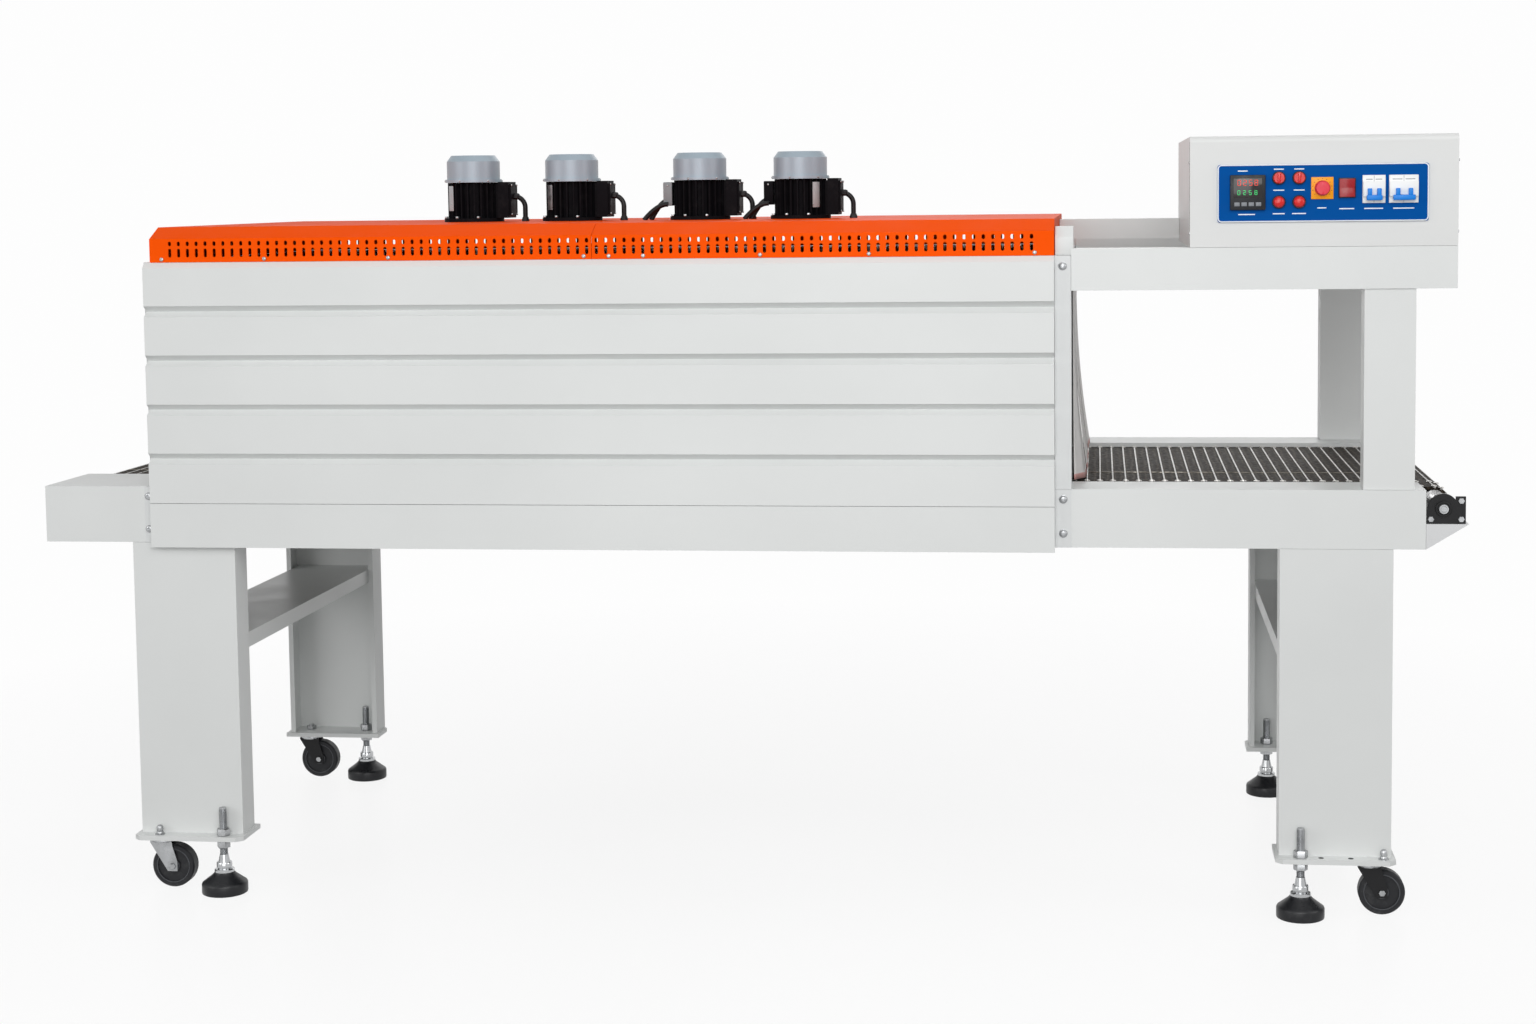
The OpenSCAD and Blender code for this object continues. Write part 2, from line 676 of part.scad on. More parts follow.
// Controller, lamps, switches, knob and breakers on the panel
panel_face = leg_face - gap - panel_thickness;
controller_size = 72;
controller_depth = 9;
lamp_diameter = 28;
lamp_depth = 16;
knob_plate = 45;
knob_diameter = 31;
knob_depth = 22;
rocker_width = 35;
rocker_height = 41;
rocker_depth = 8;
breaker_height = 57;
small_breaker = 46;
large_breaker = 59;
breaker_depth = 12;
toggle_depth = 24;
toggle_height = 12;
controller_place = [25, 25];
lamp_column_places = [124, 165];
lamp_row_places = [41, 90];
knob_place = [189, 46];
rocker_place = [244, 48];
breaker_places = [292, 345];
breaker_rise = 37;
lamp_columns = [for (x = lamp_column_places) panel_left + x];
lamp_rows = [for (z = lamp_row_places) panel_bottom + z];
knob_left = panel_left + knob_place[0];
knob_bottom = panel_bottom + knob_place[1];
rocker_left = panel_left + rocker_place[0];
rocker_bottom = panel_bottom + rocker_place[1];
small_breaker_left = panel_left + breaker_places[0];
large_breaker_left = panel_left + breaker_places[1];
breaker_bottom = panel_bottom + breaker_rise;
module on_panel(x, z, width, depth, height) {
    translate([x, panel_face - gap / 2 - depth, z]) cube([width, depth, height]);
}

module panel_devices() {
    color("firebrick") placed() union() {
        on_panel(panel_left + controller_place[0], panel_bottom + controller_place[1], controller_size, controller_depth, controller_size);
        for (x = lamp_columns, z = lamp_rows) translate([x, panel_face - gap / 2, z]) rotate([90, 0, 0]) cylinder(d = lamp_diameter, h = lamp_depth);
        on_panel(knob_left, knob_bottom, knob_plate, panel_thickness, knob_plate);
        translate([knob_left + knob_plate / 2, panel_face - gap / 2, knob_bottom + knob_plate / 2]) rotate([90, 0, 0]) cylinder(d = knob_diameter, h = knob_depth);
        on_panel(rocker_left, rocker_bottom, rocker_width, rocker_depth, rocker_height);
        on_panel(small_breaker_left, breaker_bottom, small_breaker, breaker_depth, breaker_height);
        on_panel(small_breaker_left + small_breaker / 5, breaker_bottom + breaker_height / 2 - toggle_height / 2, 3 * small_breaker / 5, toggle_depth, toggle_height);
        on_panel(large_breaker_left, breaker_bottom, large_breaker, breaker_depth, breaker_height);
        on_panel(large_breaker_left + large_breaker / 5, breaker_bottom + breaker_height / 2 - toggle_height / 2, 3 * large_breaker / 5, toggle_depth, toggle_height);
    }
}

// Cable trunk from the roof to the control box
trunk_width = 60;
trunk_height = 46;
trunk_inset = 12.5;
trunk_rise = 20;
trunk_y = leg_face + box_depth - trunk_inset - trunk_width;
module cable_trunk() {
    color("whitesmoke") placed() translate([tunnel_length + 2 * gap, trunk_y, tunnel_top + gap + trunk_rise]) cube([box_end - box_length - tunnel_length - 3 * gap, trunk_width, trunk_height]);
}

// Woven belt around the two end rollers, with a raised rod at every pitch
belt_half = roller_radius + belt_thickness + gap;
roller_z = belt_height - rod_diameter / 4 - belt_half;
nose_clearance = 2;
roller_overhang = 35;
belt_side_gap = 3;
left_roller = infeed_end + belt_half + nose_clearance;
right_roller = beam_end + roller_overhang;
belt_near = beam_inner + belt_side_gap;
belt_far = tunnel_width - beam_inner - belt_side_gap;
rod_count = floor((right_roller - left_roller) / rod_pitch);
rod_sides = 8;
module belt_outline(radius) {
    translate([left_roller, roller_z]) circle(radius);
    translate([right_roller, roller_z]) circle(radius);
    translate([left_roller, roller_z - radius]) square([right_roller - left_roller, 2 * radius]);
}

module belt() {
    spacing = (right_roller - left_roller) / rod_count;
    color("dimgray") placed() translate([0, belt_far, 0]) rotate([90, 0, 0]) linear_extrude(belt_far - belt_near) difference() {
        union() {
            belt_outline(belt_half);
            for (i = [0:rod_count], s = [-1, 1]) translate([left_roller + i * spacing, roller_z + s * (belt_half - rod_diameter / 4)]) circle(d = rod_diameter, $fn = rod_sides);
            for (s = [0, 1], a = [-60, -30, 0, 30, 60]) translate([s == 1 ? right_roller : left_roller, roller_z]) rotate(a + (s == 1 ? 0 : 180)) translate([belt_half - rod_diameter / 4, 0]) circle(d = rod_diameter, $fn = rod_sides);
        }
        belt_outline(belt_half - belt_thickness);
    }
}

// End rollers on their shafts
shaft_reach = 6;
module roller(x, start, end) {
    translate([x, 0, roller_z]) rotate([-90, 0, 0]) {
        translate([0, 0, belt_near + roller_end_gap]) cylinder(r = roller_radius, h = belt_far - belt_near - 2 * roller_end_gap);
        translate([0, 0, start]) cylinder(d = shaft_diameter, h = end - start);
    }
}

roller_end_gap = 2;
module end_rollers() {
    color("silver") placed() union() {
        roller(left_roller, leg_face + sheet + gap, back_face - sheet - gap);
        roller(right_roller, leg_face - shaft_reach, back_face + shaft_reach);
    }
}

// Bearing plates that hold the end rollers
bearing_hole = shaft_diameter + hole_clearance;
bearing_thickness = 8;
bearing_rise = 39;
bearing_boss = 31;
tray_rise = 53;
tray_top = beam_bottom + tray_rise;
bracket_inset = 4;
bracket_length = 70;
bearing_ear = 20;
bearing_ear_drop = 13;
bearing_reach = 80;
module bearing_plate() {
    low = tray_top + gap;
    difference() {
        translate([0, leg_face + sheet + bearing_thickness, 0]) rotate([90, 0, 0]) linear_extrude(bearing_thickness) {
            translate([beam_end + gap, low]) square([bearing_reach, roller_z - low]);
            translate([right_roller, roller_z]) circle(bearing_boss);
            translate([beam_end + gap + bearing_reach - bearing_ear, roller_z - over]) square([bearing_ear, bearing_rise - bearing_ear_drop]);
        }
        translate([right_roller, leg_face - over, roller_z]) rotate([-90, 0, 0]) cylinder(d = bearing_hole, h = bearing_thickness + sheet + 2 * over);
    }
}

module bearing_plates() {
    color("dimgray") placed() union() {
        bearing_plate();
        at_back() bearing_plate();
        for (y = [leg_face + sheet + gap, back_face - sheet - gap - bearing_thickness]) difference() {
            translate([infeed_end + bracket_inset, y, beam_bottom + sheet + gap]) cube([bracket_length, bearing_thickness, beam_top - beam_bottom - 2 * sheet - 2 * gap]);
            translate([left_roller, y - over, roller_z]) rotate([-90, 0, 0]) cylinder(d = bearing_hole, h = bearing_thickness + 2 * over);
        }
    }
}

// Sloping tray below the outfeed roller
module catch_tray() {
    color("gainsboro") placed() translate([0, back_face, 0]) rotate([90, 0, 0]) linear_extrude(back_face - leg_face)
        polygon([[beam_end + gap, beam_bottom], [tray_end, tray_top], [beam_end + gap, tray_top]]);
}

// Strip curtain at one end of the tunnel
strip_count = 16;
strip_gap = 2;
curtain_clearance = 2;
curtain_bottom = beam_top + curtain_clearance;
curtain_margin = 4;
curtain_overlap = 30;
slit_share = 0.9;
upper_bend_share = 0.66;
lower_bend_share = 0.3;
upper_flare_share = 0.12;
lower_flare_share = 0.45;
module curtain() {
    height = ceiling_height + curtain_overlap - curtain_bottom;
    width = tunnel_width - 2 * wall_thickness - 2 * curtain_margin;
    strip = width / strip_count;
    difference() {
        translate([0, wall_thickness + curtain_margin + width, curtain_bottom]) rotate([90, 0, 0]) linear_extrude(width)
            polygon([[0, height], [curtain_thickness, height], [curtain_thickness + curtain_flare * upper_flare_share, height * upper_bend_share], [curtain_thickness + curtain_flare * lower_flare_share, height * lower_bend_share], [curtain_thickness + curtain_flare, 0], [curtain_flare, 0], [curtain_flare * lower_flare_share, height * lower_bend_share], [curtain_flare * upper_flare_share, height * upper_bend_share]]);
        for (i = [1:strip_count - 1]) translate([-over, wall_thickness + curtain_margin + i * strip - strip_gap / 2, curtain_bottom - over]) cube([curtain_thickness + curtain_flare + 2 * over, strip_gap, height * slit_share]);
    }
}

module curtain_right() {
    color("mistyrose") placed() translate([tunnel_length + end_frame_depth + 2 * gap, 0, 0]) curtain();
}

module curtain_left() {
    color("mistyrose") placed() translate([-left_frame_depth - 2 * gap, 0, 0]) mirror([1, 0, 0]) curtain();
}

wall_front();
wall_back();
skirt_front();
skirt_back();
roof();
end_frame_left();
end_frame_right();
cover_left();
cover_right();
motor_bodies();
fan_caps();
terminal_boxes();
motor_leads();
side_beam_front();
side_beam_back();
infeed_guards();
slide_rails();
cross_bars();
joint_strips();
leg_front_left();
leg_front_right();
leg_back_left();
leg_back_right();
stretcher_left();
stretcher_right();
levelling_feet();
caster_fork_1();
caster_fork_2();
caster_fork_3();
caster_fork_4();
caster_wheel_1();
caster_wheel_2();
caster_wheel_3();
caster_wheel_4();
upper_beam_front();
upper_beam_back();
post_front();
post_back();
control_box();
control_panel();
panel_devices();
cable_trunk();
belt();
end_rollers();
bearing_plates();
catch_tray();
curtain_left();
curtain_right();
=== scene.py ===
"""Dresses the heat shrink tunnel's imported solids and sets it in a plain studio."""

import logging
import math
import random
from dataclasses import dataclass, field
from enum import Enum
from typing import Callable, Iterable, Sequence

import bmesh
import bpy
from mathutils import Matrix, Vector


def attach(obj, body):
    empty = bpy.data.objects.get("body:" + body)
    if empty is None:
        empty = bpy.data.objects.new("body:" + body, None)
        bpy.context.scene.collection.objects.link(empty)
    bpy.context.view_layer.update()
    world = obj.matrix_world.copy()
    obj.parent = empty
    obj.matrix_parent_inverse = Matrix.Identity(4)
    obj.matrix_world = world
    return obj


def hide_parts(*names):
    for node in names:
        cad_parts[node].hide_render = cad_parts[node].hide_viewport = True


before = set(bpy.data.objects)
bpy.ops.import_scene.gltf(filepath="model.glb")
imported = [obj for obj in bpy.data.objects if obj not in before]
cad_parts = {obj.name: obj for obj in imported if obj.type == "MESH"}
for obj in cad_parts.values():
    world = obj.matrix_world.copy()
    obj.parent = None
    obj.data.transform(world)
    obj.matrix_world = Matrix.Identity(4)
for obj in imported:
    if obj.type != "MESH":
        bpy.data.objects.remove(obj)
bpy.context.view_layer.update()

LOG = logging.getLogger("shrink_tunnel")

Colour = tuple[float, float, float]
Point = tuple[float, float, float]

# The row frame's origin, in millimetres from the tunnel's front left corner
MID_X = 1284.0
MID_Y = 535.0
TUNNEL_WIDTH = 1119.0
TUNNEL_LENGTH = 1966.0
MM = 0.001


def at(x: float, y: float, z: float) -> Vector:
    """Turns workshop millimetres into a point of the row frame.

    Args:
        x: distance from the tunnel's infeed end, along the belt.
        y: distance from the tunnel's front skin, towards the back.
        z: height above the floor.

    Returns:
        The point in metres, in the row frame.
    """
    return Vector(((x - MID_X) * MM, (y - MID_Y) * MM, z * MM))


def mirrored_y(y: float) -> float:
    """Gives the place behind the tunnel's middle that matches one in front of it."""
    return TUNNEL_WIDTH - y


# ---------------------------------------------------------------- finishes


class NodeSheet:
    """Adds and joins shader nodes of one material."""

    def __init__(self, name: str) -> None:
        """Starts a new material with an empty Principled shader.

        Args:
            name: the material's name.
        """
        self.material = bpy.data.materials.new(name)
        self.material.use_nodes = True
        self.tree = self.material.node_tree
        self.shader = self.tree.nodes["Principled BSDF"]

    def add(self, kind: str, **settings: object) -> bpy.types.Node:
        """Adds a node and sets its plain properties.

        Args:
            kind: the node's type name.
            **settings: properties of the node.

        Returns:
            The new node.
        """
        node = self.tree.nodes.new(kind)
        for key, value in settings.items():
            setattr(node, key, value)
        return node

    def join(self, source: bpy.types.NodeSocket, target: bpy.types.NodeSocket) -> None:
        """Links one socket to another."""
        self.tree.links.new(source, target)

    def coordinates(self) -> bpy.types.NodeSocket:
        """Gives the object's own coordinates, in metres."""
        return self.add("ShaderNodeTexCoord").outputs["Object"]

    def noise(self, scale: float, detail: float = 3.0, roughness: float = 0.55,
              stretch: Point = (1.0, 1.0, 1.0)) -> bpy.types.NodeSocket:
        """Adds a noise texture.

        Args:
            scale: how fine the noise is, per metre.
            detail: octaves of detail.
            roughness: how strong the fine detail is.
            stretch: scale along each axis.

        Returns:
            The noise value's socket.
        """
        mapping = self.add("ShaderNodeMapping")
        mapping.inputs["Scale"].default_value = stretch
        self.join(self.coordinates(), mapping.inputs["Vector"])
        noise = self.add("ShaderNodeTexNoise")
        noise.inputs["Scale"].default_value = scale
        noise.inputs["Detail"].default_value = detail
        noise.inputs["Roughness"].default_value = roughness
        self.join(mapping.outputs["Vector"], noise.inputs["Vector"])
        return noise.outputs["Fac"]

    def span(self, value: bpy.types.NodeSocket, low: float, high: float,
             start: float = 0.3, end: float = 0.7) -> bpy.types.NodeSocket:
        """Maps a value's range to another one.

        Args:
            value: the socket that is mapped.
            low: result at start.
            high: result at end.
            start: value that gives low.
            end: value that gives high.

        Returns:
            The mapped value's socket.
        """
        node = self.add("ShaderNodeMapRange")
        for key, number in (("From Min", start), ("From Max", end), ("To Min", low), ("To Max", high)):
            node.inputs[key].default_value = number
        self.join(value, node.inputs["Value"])
        return node.outputs["Result"]

    def blend(self, factor: bpy.types.NodeSocket, first: Colour, second: Colour) -> bpy.types.NodeSocket:
        """Mixes two colours by a factor.

        Args:
            factor: 0 gives the first colour and 1 the second.
            first: linear colour.
            second: linear colour.

        Returns:
            The mixed colour's socket.
        """
        node = self.add("ShaderNodeMix", data_type="RGBA")
        self.join(factor, node.inputs[0])
        node.inputs[6].default_value = (*first, 1.0)
        node.inputs[7].default_value = (*second, 1.0)
        return node.outputs[2]

    def bump(self, height: bpy.types.NodeSocket, distance: float, strength: float = 1.0) -> None:
        """Drives the shader's normal with a height.

        Args:
            height: the height's socket, from 0 to 1.
            distance: height in metres at 1.
            strength: share of the effect.
        """
        node = self.add("ShaderNodeBump")
        node.inputs["Distance"].default_value = distance
        node.inputs["Strength"].default_value = strength
        self.join(height, node.inputs["Height"])
        self.join(node.outputs["Normal"], self.shader.inputs["Normal"])

    def set(self, **values: float) -> None:
        """Sets plain numbers on the shader's sockets, underscores standing for spaces."""
        for key, value in values.items():
            self.shader.inputs[key.replace("_", " ")].default_value = value


def linear(red: int, green: int, blue: int) -> Colour:
    """Turns a screen colour of 0 to 255 into linear shares."""
    def channel(value: int) -> float:
        share = value / 255
        return share / 12.92 if share <= 0.04045 else ((share + 0.055) / 1.055) ** 2.4
    return channel(red), channel(green), channel(blue)


def shade(colour: Colour, factor: float) -> Colour:
    """Makes a colour darker or lighter by a factor."""
    return tuple(min(1.0, part * factor) for part in colour)


@dataclass(frozen=True)
class Paint:
    """Satin powder coat: fine orange peel, faint clouding and dusty patches."""

    name: str
    colour: Colour
    roughness: float = 0.38
    cloud: float = 0.05
    peel: float = 0.00012
    dust: float = 0.5
    metallic: float = 0.0
    shine: float = 0.45

    def make(self) -> bpy.types.Material:
        """Builds the material."""
        sheet = NodeSheet(self.name)
        cloud = sheet.span(sheet.noise(2.2, 4.0), 0.0, 1.0)
        sheet.join(sheet.blend(cloud, shade(self.colour, 1 - self.cloud), self.colour), sheet.shader.inputs["Base Color"])
        rough = sheet.span(sheet.noise(9.0, 5.0, 0.65), self.roughness - 0.06, self.roughness + 0.12 * self.dust)
        sheet.join(rough, sheet.shader.inputs["Roughness"])
        sheet.bump(sheet.noise(420.0, 2.0), self.peel, 0.5)
        sheet.set(Specular_IOR_Level=self.shine, Metallic=self.metallic)
        return sheet.material


@dataclass(frozen=True)
class Metal:
    """Bare or plated metal with fine drawn lines and cloudy reflections."""

    name: str
    colour: Colour
    roughness: float = 0.28
    lines: Point = (1.0, 1.0, 1.0)
    line_scale: float = 300.0
    depth: float = 0.00006
    tone_scale: float = 26.0
    dark: float = 0.8

    def make(self) -> bpy.types.Material:
        """Builds the material."""
        sheet = NodeSheet(self.name)
        tone = sheet.span(sheet.noise(self.tone_scale, 5.0, 0.6, self.lines), 0.0, 1.0)
        sheet.join(sheet.blend(tone, shade(self.colour, self.dark), self.colour), sheet.shader.inputs["Base Color"])
        rough = sheet.span(sheet.noise(60.0, 4.0, 0.6, self.lines), self.roughness * 0.7, self.roughness * 1.4)
        sheet.join(rough, sheet.shader.inputs["Roughness"])
        sheet.bump(sheet.noise(self.line_scale, 3.0, 0.6, self.lines), self.depth, 0.6)
        sheet.set(Metallic=1.0)
        return sheet.material


@dataclass(frozen=True)
class Moulding:
    """Moulded plastic or rubber with a fine grain and faint scuffs."""

    name: str
    colour: Colour
    roughness: float = 0.45
    grain: float = 0.0001
    scuff: float = 0.25
    coat: float = 0.0
    shine: float = 0.5

    def make(self) -> bpy.types.Material:
        """Builds the material."""
        sheet = NodeSheet(self.name)
        scuff = sheet.span(sheet.noise(35.0, 6.0, 0.7), 0.0, 1.0, 0.52, 0.75)
        paler = tuple(part + (0.35 - part) * 0.12 * self.scuff for part in self.colour)
        sheet.join(sheet.blend(scuff, self.colour, paler), sheet.shader.inputs["Base Color"])
        rough = sheet.span(sheet.noise(50.0, 4.0), self.roughness - 0.08, self.roughness + 0.14)
        sheet.join(rough, sheet.shader.inputs["Roughness"])
        sheet.bump(sheet.noise(900.0, 2.0), self.grain, 0.5)
        sheet.set(Specular_IOR_Level=self.shine)
        if self.coat:
            sheet.set(Coat_Weight=self.coat, Coat_Roughness=0.12)
        return sheet.material


@dataclass(frozen=True)
class BeltSteel:
    """Used belt mesh: brown film over grey wire, with fine wires woven both ways; the dark film colour also fills the
    gaps between the wires as painted shade.
    """

    name: str
    colour: Colour
    film_and_gap_shade: Colour
    roughness: float = 0.6
    wires: float = 22.0
    depth: float = 0.0009

    def make(self) -> bpy.types.Material:
        """Builds the material."""
        sheet = NodeSheet(self.name)
        lines = []
        for direction, bend in (("X", 3.5), ("Y", 1.0)):
            wave = sheet.add("ShaderNodeTexWave", bands_direction=direction)
            wave.inputs["Scale"].default_value = self.wires
            wave.inputs["Distortion"].default_value = bend
            wave.inputs["Detail"].default_value = 2.0
            wave.inputs["Detail Scale"].default_value = 0.6
            sheet.join(sheet.coordinates(), wave.inputs["Vector"])
            lines.append(wave.outputs["Fac"])
        most = sheet.add("ShaderNodeMath", operation="MAXIMUM")
        sheet.join(lines[0], most.inputs[0])
        sheet.join(lines[1], most.inputs[1])
        film_and_gap_shade = sheet.span(sheet.noise(11.0, 6.0, 0.7), 0.0, 1.0, 0.36, 0.66)
        # Painted shade: between the woven wires the colour falls to the dark film colour, standing in for the shade in
        # the mesh's gaps; the noise adds patches of real film.
        product = sheet.add("ShaderNodeMath", operation="MULTIPLY")
        sheet.join(sheet.span(most.outputs[0], 0.1, 1.0, 0.55, 0.98), product.inputs[0])
        sheet.join(sheet.span(film_and_gap_shade, 0.55, 1.0, 0.0, 1.0), product.inputs[1])
        sheet.join(sheet.blend(product.outputs[0], self.film_and_gap_shade, self.colour), sheet.shader.inputs["Base Color"])
        sheet.join(sheet.span(sheet.noise(90.0, 4.0), self.roughness - 0.1, self.roughness + 0.2), sheet.shader.inputs["Roughness"])
        sheet.bump(most.outputs[0], self.depth, 0.8)
        sheet.set(Metallic=0.05, Specular_IOR_Level=0.1)
        return sheet.material


@dataclass(frozen=True)
class CoatedCloth:
    """Coated glass cloth: a fine plain weave under a slightly waxy film."""

    name: str
    colour: Colour
    threads: float = 1100.0

    def make(self) -> bpy.types.Material:
        """Builds the material."""
        sheet = NodeSheet(self.name)
        weave = []
        for direction in ("Y", "Z"):
            wave = sheet.add("ShaderNodeTexWave", bands_direction=direction)
            wave.inputs["Scale"].default_value = self.threads / 20
            wave.inputs["Distortion"].default_value = 0.4
            sheet.join(sheet.coordinates(), wave.inputs["Vector"])
            weave.append(wave.outputs["Fac"])
        mix = sheet.add("ShaderNodeMath", operation="MULTIPLY")
        sheet.join(weave[0], mix.inputs[0])
        sheet.join(weave[1], mix.inputs[1])
        stain = sheet.span(sheet.noise(9.0, 5.0, 0.6, (1.0, 1.0, 0.4)), 0.0, 1.0, 0.35, 0.7)
        sheet.join(sheet.blend(stain, shade(self.colour, 0.9), self.colour), sheet.shader.inputs["Base Color"])
        sheet.join(sheet.span(stain, 0.42, 0.6, 0.0, 1.0), sheet.shader.inputs["Roughness"])
        sheet.bump(mix.outputs[0], 0.00025, 0.6)
        sheet.set(Sheen_Weight=0.15)
        return sheet.material


class Finish(Enum):
    """Every finish on the machine, named by where it is seen."""

    LIGHT_PAINT = Paint("machine_paint", linear(223, 225, 224))
    END_PAINT = Paint("end_frame_paint", linear(218, 220, 220), roughness=0.42)
    TRAY_PAINT = Paint("tray_paint", linear(216, 217, 218), roughness=0.4)
    ORANGE_PAINT = Paint("cover_paint", linear(255, 86, 0), roughness=0.5, cloud=0.05, shine=0.04)
    BOX_PAINT = Paint("control_box_paint", linear(220, 221, 220), roughness=0.4)
    SILVER_PAINT = Paint("fan_cap_enamel", linear(152, 169, 180), roughness=0.34, cloud=0.04, metallic=0.1, shine=0.5)
    BLACK_CAST = Moulding("black_cast_enamel", linear(20, 20, 23), roughness=0.46, grain=0.0003, scuff=0.2, shine=0.02)
    GREY_BOX = Moulding("grey_terminal_plastic", linear(136, 144, 148), roughness=0.42, shine=0.2)
    BLACK_PLATE = Paint("black_bearing_plate", linear(20, 20, 22), roughness=0.36, cloud=0.2, shine=0.25)
    BLACK_SHEATH = Moulding("black_cable_sheath", linear(14, 14, 16), roughness=0.45, shine=0.25)
    FOOT_PLASTIC = Moulding("black_foot_plastic", linear(24, 25, 28), roughness=0.33, scuff=0.4, shine=0.3)
    WHEEL_PLASTIC = Moulding("black_wheel_rubber", linear(26, 27, 30), roughness=0.5, scuff=0.8, shine=0.3)
    CHROME = Metal("chrome_ring", (0.5, 0.51, 0.52), roughness=0.14, depth=0.00001)
    RIM_PLASTIC = Moulding("grey_rim_plastic", linear(66, 68, 72), roughness=0.4)
    ZINC = Metal("zinc_plate", (0.44, 0.45, 0.46), roughness=0.3, dark=0.65)
    BRIGHT_STEEL = Metal("turned_steel", (0.7, 0.7, 0.7), roughness=0.25, lines=(0.1, 1.0, 1.0))
    ROD_STEEL = Metal("belt_rod_steel", (0.64, 0.63, 0.61), roughness=0.34, line_scale=160.0, depth=0.0012, tone_scale=60.0, dark=0.2)
    # The belt's second colour is its dark film and also the painted shade between its wires.
    BELT = BeltSteel("belt_mesh_steel", linear(66, 57, 47), linear(16, 13, 10))
    WIRE = Metal("belt_wire_steel", linear(142, 137, 128), roughness=0.4, tone_scale=80.0, dark=0.5)
    HOOK_STEEL = Metal("belt_hook_steel", (0.86, 0.84, 0.81), roughness=0.3, tone_scale=120.0, dark=0.55)
    RAIL = Metal("slide_rail_steel", (0.4, 0.4, 0.4), roughness=0.45)
    CURTAIN = CoatedCloth("curtain_cloth", linear(226, 223, 221))
    HEM = CoatedCloth("curtain_hem", linear(222, 166, 160))
    PANEL_BLUE = Moulding("blue_panel_film", linear(0, 80, 157), roughness=0.42, grain=0.00004, scuff=0.0, shine=0.03)
    PANEL_WHITE = Moulding("white_panel_line", linear(236, 240, 244), roughness=0.35, grain=0.00004, scuff=0.0)
    DEVICE_BLACK = Moulding("black_device_plastic", linear(26, 28, 32), roughness=0.34, shine=0.25)
    DEVICE_GREY = Moulding("grey_key_plastic", linear(120, 124, 130), roughness=0.4)
    DEVICE_WHITE = Moulding("white_breaker_plastic", linear(236, 237, 237), roughness=0.36)
    LAMP_RED = Moulding("red_lens", linear(212, 16, 12), roughness=0.22, scuff=0.0, coat=0.35, shine=0.3)
    KNOB_RED = Moulding("red_knob", linear(222, 44, 66), roughness=0.3, coat=0.2, shine=0.3)
    KNOB_YELLOW = Moulding("yellow_plate", linear(246, 160, 10), roughness=0.35, shine=0.3)
    ROCKER_RED = Moulding("dark_red_rocker", linear(156, 6, 22), roughness=0.26, coat=0.3, shine=0.2)
    TOGGLE_BLUE = Moulding("blue_toggle", linear(20, 128, 222), roughness=0.35, shine=0.3)
    DISPLAY = Moulding("dark_display", linear(16, 10, 12), roughness=0.12, grain=0.00001, scuff=0.0)
    DIGIT_RED = Moulding("red_digit", linear(255, 70, 50), roughness=0.4, grain=0.00001, scuff=0.0)
    DIGIT_GREEN = Moulding("green_digit", linear(60, 220, 120), roughness=0.4, grain=0.00001, scuff=0.0)
    PLATE_METAL = Metal("name_plate_metal", (0.42, 0.43, 0.44), roughness=0.34)
    # Used for the control box's dark seam and, as painted shade, for the open holes in the base plates.
    DARK_GAP = Moulding("dark_gap", linear(28, 29, 31), roughness=0.7, scuff=0.0)

    def material(self) -> bpy.types.Material:
        """Gives the finish's material, made at its first use."""
        found = bpy.data.materials.get(self.value.name)
        return found or self.value.make()


# ---------------------------------------------------------------- mesh tools


